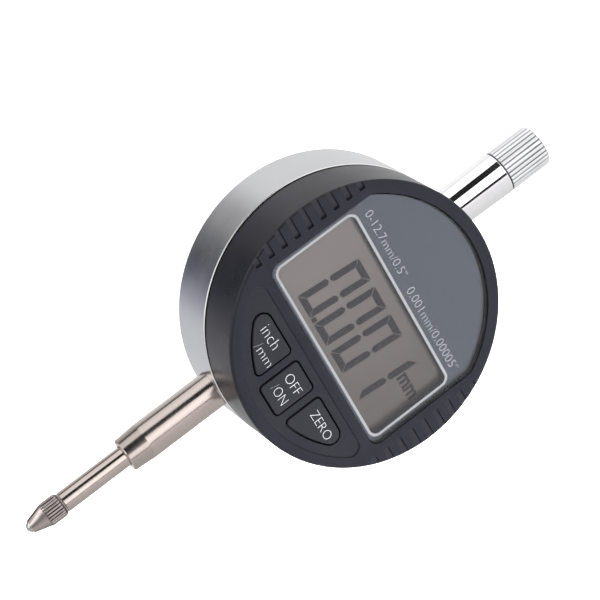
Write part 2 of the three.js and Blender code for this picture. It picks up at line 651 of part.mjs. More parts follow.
function frontHousing() {
  const shell = turnedOnZ([
    [0, FACE_Z],
    [HOUSING_RADIUS - HOUSING_EDGE, FACE_Z],
    [HOUSING_RADIUS - HOUSING_EDGE_MIDDLE, FACE_Z - HOUSING_EDGE_MIDDLE],
    [HOUSING_RADIUS, FACE_Z - HOUSING_EDGE],
    [HOUSING_RADIUS, HOUSING_BACK_Z],
    [HOUSING_INNER_RADIUS, HOUSING_BACK_Z],
    [HOUSING_INNER_RADIUS, CEILING_Z],
    [0, CEILING_Z],
  ]);
  const pcbPosts = [-1, 1].map((side) => {
    return rod(side * PCB_SCREW_X, PCB_SCREW_Y, POST_RADIUS, [PCB_Z[1] + GAP, CEILING_Z + 0.5]);
  });
  const pcbHoles = [-1, 1].map((side) => {
    return rod(side * PCB_SCREW_X, PCB_SCREW_Y, PCB_SCREW.shank + GAP, [PCB_Z[1], PCB_Z[1] + 2.5]);
  });
  const baseHoles = BASE_SCREW_ANGLES.map((angle) => {
    return rod(...polar(BASE_SCREW_DISTANCE, angle), BASE_SCREW.shank + GAP, [BASE_Z[1], BASE_Z[1] + 3]);
  });
  const through = [CEILING_Z - 1, FACE_Z + 1];
  const sideHole = prism(sideButtonOutline(BUTTON_GROOVE / 2), through);
  const holes = [
    prism(windowOutline(0.15), through),
    prism(middleButtonOutline(BUTTON_GROOVE / 2), through),
    sideHole,
    sideHole.clone().scale(-1, 1, 1),
  ];
  const panel = prism(crescentOutline(PANEL_TOP_Y, PANEL_RADIUS, PANEL_CORNER), [FACE_Z - PANEL_DEPTH, FACE_Z + 1]);
  const slotHalf = DRAWER_HALF_WIDTH + 0.25;
  const slotZ = [TRAY_Z[0] - CLEAR, TRAY_Z[1] + 0.15];
  const drawerSlot = inDrawerDirection(block([24, HOUSING_RADIUS + 1], [-slotHalf, slotHalf], slotZ));
  const whole = join(shell, ...pcbPosts, ...basePosts());
  return cut(whole, ...holes, panel, ...gripNotches(), ...pcbHoles, ...baseHoles, drawerSlot);
}

// The back plate of the display unit, with the grooved spigot that turns in the case and the rib that stops it.
function displayBase() {
  const grooveRadius = SNAP_RING_RADIUS - SNAP_WIRE_RADIUS - 0.25;
  const grooveZ = [SNAP_RING_Z - SNAP_WIRE_RADIUS - GAP, SNAP_RING_Z + SNAP_WIRE_RADIUS + GAP];
  const plate = turnedOnZ([
    [BASE_HOLE_RADIUS, BASE_Z[1]],
    [HOUSING_INNER_RADIUS - 0.15, BASE_Z[1]],
    [HOUSING_INNER_RADIUS - 0.15, BASE_Z[0]],
    [SPIGOT_RADIUS[1], BASE_Z[0]],
    [SPIGOT_RADIUS[1], grooveZ[1]],
    [grooveRadius, grooveZ[1]],
    [grooveRadius, grooveZ[0]],
    [SPIGOT_RADIUS[1], grooveZ[0]],
    [SPIGOT_RADIUS[1], SPIGOT_Z],
    [SPIGOT_RADIUS[0], SPIGOT_Z],
    [SPIGOT_RADIUS[0], BASE_Z[0]],
    [BASE_HOLE_RADIUS, BASE_Z[0]],
    [BASE_HOLE_RADIUS, BASE_Z[1]],
  ]);
  const pinHalfAngle = Math.asin((STOP_PIN.radius + 0.15) / STOP_PIN.distance);
  const ribHalfAngle = Math.PI / 4 - pinHalfAngle;
  const ribMiddle = BOSS_ANGLES[0];
  const ribEnds = [ribMiddle - ribHalfAngle, ribMiddle + ribHalfAngle];
  const ribInner = STOP_PIN.distance - STOP_PIN.radius - 0.3;
  const ribOuter = SPIGOT_RADIUS[0] - CLEAR;
  const rib = prism(
    [...arc(0, 0, ribOuter, ...ribEnds, 16), ...arc(0, 0, ribInner, ...ribEnds, 16).reverse()],
    [SPIGOT_Z + 0.6, BASE_Z[0] + 0.5],
  );
  const screwHoles = BASE_SCREW_ANGLES.flatMap((angle) => {
    const place = polar(BASE_SCREW_DISTANCE, angle);
    const counterbore = rod(...place, BASE_SCREW.head + GAP, [BASE_Z[0] - 1, BASE_SCREW_Z + FIT]);
    return [counterbore, rod(...place, BASE_SCREW.shank + GAP, [BASE_Z[0], BASE_Z[1] + 1])];
  });
  return cut(join(plate, rib), ...screwHoles);
}

function baseScrew(angle) {
  return screw(BASE_SCREW).rotateX(Math.PI).translate(...polar(BASE_SCREW_DISTANCE, angle), BASE_SCREW_Z);
}

function mainBoard() {
  const holes = [-1, 1].map((side) => {
    return rod(side * PCB_SCREW_X, PCB_SCREW_Y, PCB_SCREW.shank + GAP, [PCB_Z[0] - 1, PCB_Z[1] + 1]);
  });
  return cut(turnedOnZ(rodProfile(PCB_RADIUS, PCB_Z), PLATE_STEPS), ...holes);
}

function pcbScrew(side) {
  return screw(PCB_SCREW).rotateX(Math.PI).translate(side * PCB_SCREW_X, PCB_SCREW_Y, PCB_Z[0] - GAP);
}

const LCD = { x: [-22.8, 22.8], y: [-11.2, 9.8] };
const LCD_HOLDER = { x: [-24.6, 24.6], y: [-12.9, 11.5] };
const STRIP = { halfLength: 21, halfWidth: 0.8, y: [-10.2, 8.8] };
const KEYPAD = { topY: -14.3, radius: 26.4, corner: 1.5, halfWidth: 18 };
const DOME_PLACES = [[-11.2, -19.5], [0, -20.6], [11.2, -19.5]];
const CHIP_HALF = 4.5;
const CHIP_HEIGHT = 1.2;

function lcdHolder() {
  const frame = prism(roundedRectangle(LCD_HOLDER.x, LCD_HOLDER.y, 3), [PCB_Z[1] + GAP, LCD_Z[1] - FIT]);
  const pocket = block(
    [LCD.x[0] - CLEAR, LCD.x[1] + CLEAR],
    [LCD.y[0] - CLEAR, LCD.y[1] + CLEAR],
    [PCB_Z[1] - 1, CEILING_Z + 1],
  );
  return cut(frame, pocket);
}

function windowPlate() {
  const opening = prism(openingOutline(), [PLATE_Z[0] - 1, PLATE_Z[1] + 1]);
  return cut(prism(windowOutline(0), PLATE_Z), opening);
}

function controllerChip() {
  const sides = [-CHIP_HALF, CHIP_HALF];
  return block(sides, sides, [PCB_Z[1] + GAP, PCB_Z[1] + GAP + CHIP_HEIGHT]);
}

function keypadMembrane() {
  const sheet = prism(crescentOutline(KEYPAD.topY, KEYPAD.radius, KEYPAD.corner), KEYPAD_Z);
  const beyond = KEYPAD.radius + 1;
  const clearOfPosts = block([KEYPAD.halfWidth, beyond], [-beyond, 0], [KEYPAD_Z[0] - 1, KEYPAD_Z[1] + 1]);
  return cut(sheet, clearOfPosts, clearOfPosts.clone().scale(-1, 1, 1));
}

function domeSwitch(x, y) {
  const low = PCB_Z[1] + FIT;
  const profile = [[0, low], [2.2, low], [2, low + 0.25], [1.2, low + 0.5], [0, low + 0.6]];
  return turnedOnZ(profile, SCREW_STEPS).translate(x, y, 0);
}

// The flat cable's turning end: coiled in the base's hole, with a tail up to the main board.
function flexCoil() {
  const outer = BASE_HOLE_RADIUS - 0.6;
  const tailX = GAP - outer;
  const coil = turnedOnZ(ringProfile(3.4, outer, [BASE_Z[0] + FIT, BASE_Z[1]]), STEM_STEPS);
  const tail = block([tailX, tailX + FLEX_THICKNESS], [-1.8, 1.8], [BASE_Z[0] + FIT, PCB_Z[0] - GAP]);
  return join(coil, tail);
}

// ---------------------------------------------------------------- battery drawer

function batteryTray() {
  const faceAngle = Math.asin(DRAWER_HALF_WIDTH / HOUSING_RADIUS);
  const innerX = 8;
  const outline = [
    new THREE.Vector2(innerX, DRAWER_HALF_WIDTH),
    new THREE.Vector2(innerX, -DRAWER_HALF_WIDTH),
    ...arc(0, 0, HOUSING_RADIUS, -faceAngle, faceAngle, 12),
  ];
  const pocket = rod(COIN_X, 0, COIN_RADIUS + 0.15, [TRAY_Z[0] - 1, TRAY_Z[1] + 1], STEM_STEPS);
  const middleZ = (TRAY_Z[0] + TRAY_Z[1]) / 2;
  const nailHalf = 0.5;
  const nailReach = [HOUSING_RADIUS - 0.9, HOUSING_RADIUS + 1];
  const nailGroove = block(nailReach, [-4, 4], [middleZ - nailHalf, middleZ + nailHalf]);
  return inDrawerDirection(cut(prism(outline, TRAY_Z), pocket, nailGroove));
}

function coinCell() {
  const low = TRAY_Z[0] + GAP;
  const high = low + COIN_HEIGHT;
  const profile = [[0, low], [COIN_RADIUS, low], [COIN_RADIUS, high - 0.5], [COIN_RADIUS - 0.9, high], [0, high]];
  return inDrawerDirection(turnedOnZ(profile, STEM_STEPS).translate(COIN_X, 0, 0));
}

function batteryContact() {
  const thickness = 0.3;
  const backX = COIN_X - COIN_RADIUS - thickness - 0.4;
  return inDrawerDirection(block([backX, backX + thickness], [-2, 2], [TRAY_Z[0] + GAP, PCB_Z[0] - GAP]));
}

// ---------------------------------------------------------------- buttons

// A button: the cap, and a wider flange under the front wall that keeps it in.
function button(outline) {
  const cap = prism(outline(-BUTTON_GROOVE / 2), [BUTTON_FLANGE_Z[0], FACE_Z]);
  return join(cap, prism(outline(BUTTON_FLANGE), BUTTON_FLANGE_Z));
}

// ---------------------------------------------------------------- the assembly

function caseGroup() {
  const group = new THREE.Group();
  group.add(
    node('case_body', caseBody(), satinSteel()),
    node('back_cover', backCover(), satinSteel()),
    node('back_gasket', turnedOnZ(ringProfile(27.65, 28.75, GASKET_Z)), rubber()),
    ...BOSS_ANGLES.map((angle, i) => node(`back_screw_${i + 1}`, backScrew(angle), screwSteel())),
    node('stem', stem(), brightSteel()),
    node('lower_bush', turnedOnSpindle(ringProfile(BUSH_BORE, BUSH_RADIUS, LOWER_BUSH_Y)), bronze()),
    node('wiper_seal', turnedOnSpindle(ringProfile(BUSH_BORE + FIT, BUSH_RADIUS, WIPER_Y)), rubber()),
    node('top_sleeve', topSleeve(), chrome()),
    node('upper_bush', turnedOnSpindle(ringProfile(BUSH_BORE, BUSH_RADIUS, UPPER_BUSH_Y)), bronze()),
    node('return_spring', turnedOnSpindle(ringProfile(SPRING_INNER_RADIUS, BUSH_RADIUS, SPRING_Y)), springSteel()),
    node('snap_ring', snapRing(), springSteel()),
    node(
      'stop_pin',
      rod(...polar(STOP_PIN.distance, BOSS_ANGLES[2]), STOP_PIN.radius, STOP_PIN.heights),
      screwSteel(),
    ),
  );
  return group;
}

function readingHeadGroup() {
  const group = new THREE.Group();
  [-1, 1].forEach((side, i) => {
    const fastener = screw(CHASSIS_SCREW).rotateX(Math.PI).translate(side * CHASSIS_SCREW_X, 0, CHASSIS_Z[0] - FIT);
    group.add(node(`chassis_screw_${i + 1}`, fastener, screwSteel()));
  });
  RAIL_SCREW_Y.forEach((y, i) => {
    const fastener = screw(RAIL_SCREW).translate(RAIL_X, y, RAIL.z[1] + FIT);
    group.add(node(`rail_screw_${i + 1}`, fastener, screwSteel()));
  });
  BOARD_SCREW_Y.forEach((y, i) => {
    const fastener = screw(BOARD_SCREW).translate(0, y, BOARD_Z[1] + FIT);
    group.add(node(`sensor_screw_${i + 1}`, fastener, screwSteel()));
  });
  group.add(
    node('chassis_plate', chassisPlate(), aluminium()),
    node('guide_rail', guideRail(), brightSteel()),
    node('sensor_board', sensorBoard(), circuitBoard()),
    node('flex_tail', flexTail(), flexFilm()),
  );
  return group;
}

function spindleGroup() {
  const group = new THREE.Group();
  const ball = new THREE.SphereGeometry(BALL_RADIUS, 16, 12).translate(0, TIP_Y + BALL_RADIUS, SPINDLE_Z);
  const scale = block([-5, 5], [CARRIAGE_Y[0] - 3, CARRIAGE_Y[1]], SCALE_Z);
  const clampScrew = screw(CARRIAGE_SCREW).translate(0, CARRIAGE_SCREW_Y, CARRIAGE_Z[1] + FIT);
  group.add(
    node('spindle_rod', spindleRod(), brightSteel()),
    node('contact_holder', contactHolder(), brightSteel()),
    node('contact_ball', ball, carbide()),
    node('carriage', carriage(), aluminium()),
    node('carriage_screw', clampScrew, screwSteel()),
    node('guide_pin', guidePin(GUIDE_PIN_RADIUS, [SPINDLE_RADIUS + 0.4, RAIL.x[1] - 1]), brightSteel()),
    node('scale_strip', scale, circuitBoard()),
    node('lifting_knob', liftingKnob(), chrome()),
    node('knob_ring', turnedOnSpindle(ringProfile(BUSH_BORE, RING_RADIUS, RING_Y)), rubber()),
  );
  return group;
}

function displayGroup() {
  const group = new THREE.Group();
  BASE_SCREW_ANGLES.forEach((angle, i) => group.add(node(`base_screw_${i + 1}`, baseScrew(angle), screwSteel())));
  [-1, 1].forEach((side, i) => group.add(node(`pcb_screw_${i + 1}`, pcbScrew(side), screwSteel())));
  STRIP.y.forEach((y, i) => {
    const along = [-STRIP.halfLength, STRIP.halfLength];
    const across = [y - STRIP.halfWidth, y + STRIP.halfWidth];
    const strip = block(along, across, [PCB_Z[1] + GAP, LCD_Z[0] - GAP]);
    group.add(node(`zebra_strip_${i + 1}`, strip, silicone()));
  });
  DOME_PLACES.forEach(([x, y], i) => {
    group.add(node(`dome_switch_${i + 1}`, domeSwitch(x, y), brightSteel()));
  });
  group.add(
    node('front_housing', frontHousing(), darkPlastic()),
    node('display_base', displayBase(), darkPlastic()),
    node('lens', prism(windowOutline(0), LENS_Z), clearAcrylic()),
    node('window_plate', windowPlate(), greyPlate()),
    node('lcd_panel', block(LCD.x, LCD.y, LCD_Z), displayGlass()),
    node('lcd_holder', lcdHolder(), holderPlastic()),
    node('main_board', mainBoard(), circuitBoard()),
    node('controller_chip', controllerChip(), chipPlastic()),
    node('keypad_membrane', keypadMembrane(), silicone()),
    node('flex_coil', flexCoil(), flexFilm()),
    node('battery_contact', batteryContact(), bronze()),
  );
  return group;
}

function drawerGroup() {
  const group = new THREE.Group();
  group.add(node('battery_tray', batteryTray(), darkPlastic()), node('battery', coinCell(), brightSteel()));
  return group;
}

function buttonsGroup() {
  const group = new THREE.Group();
  group.add(
    node('button_inch_mm', closed(button(sideButtonOutline).scale(-1, 1, 1)), buttonPlastic()),
    node('button_off_on', button(middleButtonOutline), buttonPlastic()),
    node('button_zero', button(sideButtonOutline), buttonPlastic()),
  );
  return group;
}

const indicator = new THREE.Group();
indicator.add(caseGroup(), readingHeadGroup(), spindleGroup(), displayGroup(), drawerGroup(), buttonsGroup());

export default indicator;
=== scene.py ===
import math
from functools import partial

import bmesh
import bpy
from mathutils import Matrix, Vector


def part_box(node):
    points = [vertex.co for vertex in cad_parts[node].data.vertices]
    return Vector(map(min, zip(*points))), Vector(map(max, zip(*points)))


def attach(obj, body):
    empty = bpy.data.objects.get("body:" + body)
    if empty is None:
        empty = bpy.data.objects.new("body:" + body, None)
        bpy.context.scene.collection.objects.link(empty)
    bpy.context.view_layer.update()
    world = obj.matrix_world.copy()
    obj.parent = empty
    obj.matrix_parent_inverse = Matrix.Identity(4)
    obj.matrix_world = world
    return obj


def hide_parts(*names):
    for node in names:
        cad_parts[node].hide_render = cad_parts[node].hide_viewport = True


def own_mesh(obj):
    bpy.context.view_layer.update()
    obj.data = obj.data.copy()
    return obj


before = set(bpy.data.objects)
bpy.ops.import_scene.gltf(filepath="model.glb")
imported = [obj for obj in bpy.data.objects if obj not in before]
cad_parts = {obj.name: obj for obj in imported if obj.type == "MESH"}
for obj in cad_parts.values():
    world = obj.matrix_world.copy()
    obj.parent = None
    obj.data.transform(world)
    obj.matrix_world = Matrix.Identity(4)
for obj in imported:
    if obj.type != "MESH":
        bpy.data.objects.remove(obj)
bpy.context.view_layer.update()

# The looks of a digital dial indicator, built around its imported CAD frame. Shapes are worked out in
# millimetres in the frame's axes (Z out of the display, Y along the spindle) and stored in metres.

MM = 0.001


def box_mm(node):
    low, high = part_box(node)
    return low / MM, high / MM


# ---- sizes from the frame

CASE_LOW, CASE_HIGH = box_mm("case_body")
CASE_RADIUS = CASE_HIGH.x
COVER_HIGH = box_mm("back_cover")[1]
HOUSING_LOW, HOUSING_HIGH = box_mm("front_housing")
HOUSING_RADIUS = HOUSING_HIGH.x
FACE_Z = HOUSING_HIGH.z
STEM_LOW, STEM_HIGH = box_mm("stem")
STEM_RADIUS = STEM_HIGH.x
SPINDLE_Z = (STEM_LOW.z + STEM_HIGH.z) / 2
SLEEVE_LOW, SLEEVE_HIGH = box_mm("top_sleeve")
ROD_LOW, ROD_HIGH = box_mm("spindle_rod")
ROD_RADIUS = ROD_HIGH.x
HOLDER_LOW, HOLDER_HIGH = box_mm("contact_holder")
TIP_Y = box_mm("contact_ball")[0].y
KNOB_LOW, KNOB_HIGH = box_mm("lifting_knob")
RING_LOW, RING_HIGH = box_mm("knob_ring")
SPRING_LOW, SPRING_HIGH = box_mm("return_spring")
LENS_LOW, LENS_HIGH = box_mm("lens")
PLATE_LOW, PLATE_HIGH = box_mm("window_plate")
LCD_LOW, LCD_HIGH = box_mm("lcd_panel")
TRAY_LOW, TRAY_HIGH = box_mm("battery_tray")
CELL_LOW, CELL_HIGH = box_mm("battery")

# ---- sizes that the boxes don't give

CASE_INNER_RADIUS = 27.3
COVER_SEAT_RADIUS = 28.9
COVER_LEDGE_Z = 2.2
SNAP_GROOVE_RADIUS = 27.85
SNAP_GROOVE_Z = (11.05, 12.15)
BOSS_DISTANCE = 25.4
BOSS_ANGLES = [math.radians(45 + 90 * i) for i in range(4)]
BOSS_RADIUS = 2.1
BOSS_TOP_Z = 10.3
BOSS_HOLE_RADIUS = 1.1
BOSS_HOLE_Z = (0, 6.5)
HEAD_HOLE_RADIUS = 2.05
SHANK_HOLE_RADIUS = 1.2
SEAT_Y = 28.2
LUG_INNER_X = 18.8
LUG_HALF_WIDTH = 3.5
LUG_Z = (3.7, 8)
LUG_HOLE_X = 20.6
LUG_HOLE_RADIUS = 0.9
LUG_HOLE_Z = (0, 7)
PIN_DISTANCE = 24.3
PIN_HOLE_RADIUS = 0.85
PIN_HOLE_Z = (8.2, 11.3)
BORE = 3
SLEEVE_RADIUS = 4.5
FIT = 0.05
HOUSING_INNER_RADIUS = 28
CEILING_Z = FACE_Z - 2.3

WINDOW_ARC_RADIUS = 27.1
WINDOW_CORNER = 2
OPENING_HALF_WIDTH = 21.8
OPENING_Y = (-10.25, 8.85)
OPENING_CORNER = 1.5

BUTTON_TOP_Y = -15.85
BUTTON_ARC_RADIUS = 25.4
BUTTON_CORNER = 1
SIDE_BUTTON_INNER_X = 5.85
SIDE_BUTTON_OUTER_CORNER = 2.1
MIDDLE_BUTTON_HALF_WIDTH = 3.85
MIDDLE_BUTTON_LOW_Y = -25.45
BUTTON_GROOVE = 0.3
BUTTON_FLANGE = 0.4
BUTTON_FLANGE_Z = (22.2, 23.1)

PANEL_TOP_Y = -13.9
PANEL_RADIUS = 27.6
PANEL_CORNER = 2
PANEL_Z = FACE_Z - 0.25

NOTCH_PITCH = 3.2
NOTCH_WIDTH = 1.3
NOTCH_DEPTH = 0.5
NOTCH_INNER_X = 25.4
NOTCHES_EACH_SIDE = 9

KNOB_BORE = 2.3
KNOB_BORE_END = 52.1
KNOB_FLUTES = 30
KNOB_RIDGE = KNOB_HIGH.x
KNOB_VALLEY = KNOB_RIDGE - 0.25
GRIP_FLUTES = 24
GRIP_RIDGE = HOLDER_HIGH.x
GRIP_VALLEY = GRIP_RIDGE - 0.2
GRIP_LOW_Y = TIP_Y + 5
NOSE_RADIUS = 1.45
DRAWER_ANGLE = math.pi / 6
DRAWER_HALF_WIDTH = 11.5
COIN_X = 15.5
COIN_RADIUS = 10
BALL_RADIUS = 1.25

CASE_EDGE = 0.15
SEAM_GAP = 0.38
SEAM_BEVEL = 0.3
# Height of the housing's band above the seam that is painted black as shadow.
SEAM_SHADE_BAND = 0.45
INK = 0.03
INK_LIFT = 0.005
# A painted shadow band inside the window's rim: its width, and its shift towards -Y so that it is widest at
# the top.
SHADE_BAND_WIDTH = 0.15
SHADE_BAND_SHIFT = 0.2

DIGIT_HEIGHT = 14.7
DIGIT_WIDTH = 5.7
DIGIT_PITCH = 7.3
DIGIT_LEFT = -13.9
DIGIT_LOW_Y = -8.9
STROKE = 1.5
SLANT = math.tan(math.radians(5.4))
SEGMENTS_OF = {"0": "abcdef", "1": "bc"}

RIM_STEPS = 240
ROD_STEPS = 128
SCREW_STEPS = 48
FILLET_STEPS = 5
ON_AXIS = 1e-6
CRISP = 0.05
QUARTER = math.pi / 2
BENDS = [QUARTER * i / FILLET_STEPS for i in range(FILLET_STEPS + 1)]


# ---- outlines and profiles


def arc(x, y, radius, start, end, steps=12):
    angles = [start + (end - start) / steps * i for i in range(steps + 1)]
    return [(x + radius * math.cos(a), y + radius * math.sin(a)) for a in angles]


def rounded_rectangle(x_range, y_range, corner, steps=12):
    (x0, x1), (y0, y1) = x_range, y_range
    return [
        *arc(x1 - corner, y0 + corner, corner, -QUARTER, 0, steps),
        *arc(x1 - corner, y1 - corner, corner, 0, QUARTER, steps),
        *arc(x0 + corner, y1 - corner, corner, QUARTER, math.pi, steps),
        *arc(x0 + corner, y0 + corner, corner, math.pi, 3 * QUARTER, steps),
    ]


def window_outline(grow):
    """Straight sides and bottom, and a top edge concentric with the case."""
    radius = WINDOW_ARC_RADIUS + grow
    corner = WINDOW_CORNER + grow
    corner_x = LENS_HIGH.x - WINDOW_CORNER
    low_y = LENS_LOW.y + WINDOW_CORNER
    high_y = math.sqrt((radius - corner) ** 2 - corner_x**2)
    start = math.atan2(high_y, corner_x)
    return [
        *arc(corner_x, low_y, corner, -QUARTER, 0),
        *arc(corner_x, high_y, corner, 0, start),
        *arc(0, 0, radius, start, math.pi - start, 96)[1:-1],
        *arc(-corner_x, high_y, corner, math.pi - start, math.pi),
        *arc(-corner_x, low_y, corner, math.pi, 3 * QUARTER),
    ]


def opening_outline(grow):
    half_width = OPENING_HALF_WIDTH + grow
    heights = (OPENING_Y[0] - grow, OPENING_Y[1] + grow)
    return rounded_rectangle((-half_width, half_width), heights, OPENING_CORNER + grow)


def side_button_outline(grow, side=1):
    """Flat top and inner side, and an outer edge concentric with the case; side is -1 on the left."""
    radius = BUTTON_ARC_RADIUS + grow
    corner = BUTTON_CORNER + grow
    outer_corner = SIDE_BUTTON_OUTER_CORNER + grow
    inner_x = SIDE_BUTTON_INNER_X + BUTTON_CORNER
    tip_y = -math.sqrt((radius - corner) ** 2 - inner_x**2)
    outer_y = BUTTON_TOP_Y - SIDE_BUTTON_OUTER_CORNER
    outer_x = math.sqrt((radius - outer_corner) ** 2 - outer_y**2)
    start = math.atan2(tip_y, inner_x)
    end = math.atan2(outer_y, outer_x)
    right = [
        *arc(inner_x, tip_y, corner, -math.pi, start),
        *arc(0, 0, radius, start, end, 36)[1:-1],
        *arc(outer_x, outer_y, outer_corner, end, QUARTER),
        *arc(inner_x, BUTTON_TOP_Y - BUTTON_CORNER, corner, QUARTER, math.pi),
    ]
    return right if side > 0 else [(-x, y) for x, y in reversed(right)]


def middle_button_outline(grow):
    half_width = MIDDLE_BUTTON_HALF_WIDTH + grow
    heights = (MIDDLE_BUTTON_LOW_Y - grow, BUTTON_TOP_Y + grow)
    return rounded_rectangle((-half_width, half_width), heights, BUTTON_CORNER + grow)


def panel_outline(grow):
    """The crescent that the buttons stand in: a flat top edge and an arc about the case's axis."""
    radius = PANEL_RADIUS + grow
    corner = PANEL_CORNER + grow
    corner_y = PANEL_TOP_Y - PANEL_CORNER
    corner_x = math.sqrt((radius - corner) ** 2 - corner_y**2)
    end = math.atan2(corner_y, corner_x)
    return [
        *arc(0, 0, radius, -math.pi - end, end, 72),
        *arc(corner_x, corner_y, corner, end, QUARTER)[1:],
        *arc(-corner_x, corner_y, corner, QUARTER, math.pi - end)[:-1],
    ]


def filleted(points, radius, steps=FILLET_STEPS):
    """An open profile with each inner corner rounded, by less where its neighbours are close. A shallow
    corner stays and gets points close by, so that its two sides keep their own shading."""
    made = [points[0]]
    for before, corner, after in zip(points, points[1:], points[2:]):
        here = Vector(corner)
        back = Vector(before) - here
        ahead = Vector(after) - here
        half_angle = back.angle(ahead) / 2
        if half_angle > math.radians(85):
            made += [tuple(here + back.normalized() * CRISP), corner]
            made.append(tuple(here + ahead.normalized() * CRISP))
            continue
        reach = min(radius / math.tan(half_angle), back.length * 0.45, ahead.length * 0.45)
        fillet_radius = reach * math.tan(half_angle)
        inward = (back.normalized() + ahead.normalized()).normalized()
        middle = here + inward * fillet_radius / math.sin(half_angle)
        first = here + back.normalized() * reach - middle
        last = here + ahead.normalized() * reach - middle
        for i in range(steps + 1):
            made.append(tuple(middle + first.slerp(last, i / steps) * fillet_radius))
    return [*made, points[-1]]


# ---- meshes: (vertices, faces) in millimetres


def turned(profile, steps=ROD_STEPS, radius_at=None):
    """A solid of revolution about Z from a profile of (radius, height), from axis to axis or closed.
    radius_at(radius, angle) may flute it."""
    vertices = []
    rings = []
    closed = profile[0][0] > ON_AXIS
    points = profile[:-1] if closed and profile[0] == profile[-1] else profile
    for radius, height in points:
        if radius < ON_AXIS:
            rings.append([len(vertices)] * steps)
            vertices.append((0, 0, height))
            continue
        rings.append(list(range(len(vertices), len(vertices) + steps)))
        for i in range(steps):
            angle = 2 * math.pi * i / steps
            r = radius_at(radius, angle) if radius_at else radius
            vertices.append((r * math.cos(angle), r * math.sin(angle), height))
    faces = []
    pairs = list(zip(rings, rings[1:]))
    if closed:
        pairs.append((rings[-1], rings[0]))
    for low, high in pairs:
        for i in range(steps):
            j = (i + 1) % steps
            face = list(dict.fromkeys((low[i], low[j], high[j], high[i])))
            if len(face) > 2:
                faces.append(face)
    return vertices, faces


def placed(shape, matrix):
    vertices, faces = shape
    return [tuple(matrix @ Vector(v)) for v in vertices], faces


def on_spindle(shape):
    """From heights along Z to heights along Y, about the spindle's axis."""
    vertices, faces = shape
    return [(x, h, SPINDLE_Z + y) for x, y, h in vertices], faces


def at(shape, x, y):
    return placed(shape, Matrix.Translation((x, y, 0)))


def at_angle(shape, distance, angle):
    return at(shape, distance * math.cos(angle), distance * math.sin(angle))


def in_drawer(shape):
    return placed(shape, Matrix.Rotation(DRAWER_ANGLE, 4, "Z"))


def stacked(outline, levels):
    """A closed prism through levels of (grow, height); outline(grow) always has the same point count."""
    vertices = []
    faces = []
    count = len(outline(0))
    for grow, height in levels:
        vertices += [(x, y, height) for x, y in outline(grow)]
    for level in range(len(levels) - 1):
        low, high = level * count, (level + 1) * count
        for i in range(count):
            j = (i + 1) % count
            faces.append((low + i, low + j, high + j, high + i))
    faces.append(tuple(range(count - 1, -1, -1)))
    faces.append(tuple(range(len(vertices) - count, len(vertices))))
    return vertices, faces


def prism(points, low, high):
    return stacked(lambda grow: points, [(0, low), (0, high)])


def block(x_range, y_range, z_range):
    (x0, x1), (y0, y1) = x_range, y_range
    return prism([(x0, y0), (x1, y0), (x1, y1), (x0, y1)], *z_range)


def disc_outline(radius, steps=SCREW_STEPS):
    return lambda grow: arc(0, 0, radius + grow, 0, 2 * math.pi * (1 - 1 / steps), steps - 1)


def rod(radius, low, high, steps=SCREW_STEPS):
    return prism(disc_outline(radius, steps)(0), low, high)


def rim_up(face, rim, depth, above=1):
    """Levels of a cutter whose hole gets a rounded rim where it meets the face."""
    curve = [(rim * (1 - math.cos(t)), face - rim + rim * math.sin(t)) for t in BENDS]
    return [(0, face - depth), *curve, (rim, face + above)]


def edge_up(grow, top, radius):
    """Levels of a prism's rounded upper edge."""
    return [(grow - radius * (1 - math.cos(t)), top - radius + radius * math.sin(t)) for t in BENDS]


def edge_down(grow, low, radius):
    return [(g, 2 * low - z) for g, z in reversed(edge_up(grow, low, radius))]


def merged(shapes):
    vertices = []
    faces = []
    for more_vertices, more_faces in shapes:
        start = len(vertices)
        vertices += more_vertices
        faces += [tuple(i + start for i in face) for face in more_faces]
    return vertices, faces


# ---- objects


def mesh_from(name, shape):
    vertices, faces = shape
    mesh = bpy.data.meshes.new(name)
    mesh.from_pydata([tuple(c * MM for c in v) for v in vertices], [], faces)
    tidy = bmesh.new()
    tidy.from_mesh(mesh)
    bmesh.ops.remove_doubles(tidy, verts=tidy.verts, dist=1e-8)
    bmesh.ops.recalc_face_normals(tidy, faces=tidy.faces)
    tidy.to_mesh(mesh)
    tidy.free()
    return mesh


def new_object(name, mesh):
    made = bpy.data.objects.new(name, mesh)
    bpy.context.scene.collection.objects.link(made)
    return made


def baked(piece):
    """The piece's mesh with its modifiers applied."""
    graph = bpy.context.evaluated_depsgraph_get()
    mesh = bpy.data.meshes.new_from_object(piece.evaluated_get(graph))
    piece.modifiers.clear()
    piece.data = mesh


def boolean(piece, operation, shapes):
    tools = [new_object("tool", mesh_from("tool", shape)) for shape in shapes]
    for tool in tools:
        modifier = piece.modifiers.new("boolean", "BOOLEAN")
        modifier.object = tool
        modifier.operation = operation
        modifier.solver = "MANIFOLD"
    baked(piece)
    for tool in tools:
        bpy.data.objects.remove(tool)


def smooth(piece, degrees=32):
    """Smooth shading that leaves flat faces flat and real corners sharp."""
    mesh = piece.data
    mesh.shade_smooth()
    mesh.set_sharp_from_angle(angle=math.radians(degrees))
    weights = piece.modifiers.new("normals", "WEIGHTED_NORMAL")
    weights.keep_sharp = True
    baked(piece)


def piece(name, shape, finishes, body, stands_for=(), slot=None, join=(), cut=(), sharp=32):
    """One visible piece: its shape, its finishes by name, and the body that it moves with."""
    made = new_object(name, mesh_from(name, shape))
    if join:
        boolean(made, "UNION", join)
    if cut:
        boolean(made, "DIFFERENCE", cut)
    smooth(made, sharp)
    made.data.materials.clear()
    for look in finishes:
        made.data.materials.append(LOOKS[look])
    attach(made, body)
    if stands_for:
        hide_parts(*stands_for)
    return made


def paint_faces(made, index, chosen):
    """Gives the faces whose middle, in millimetres, is chosen the finish with that index."""
    for face in made.data.polygons:
        if chosen(face.center / MM, face.normal):
            face.material_index = index


# ---- materials

LOOKS = {}


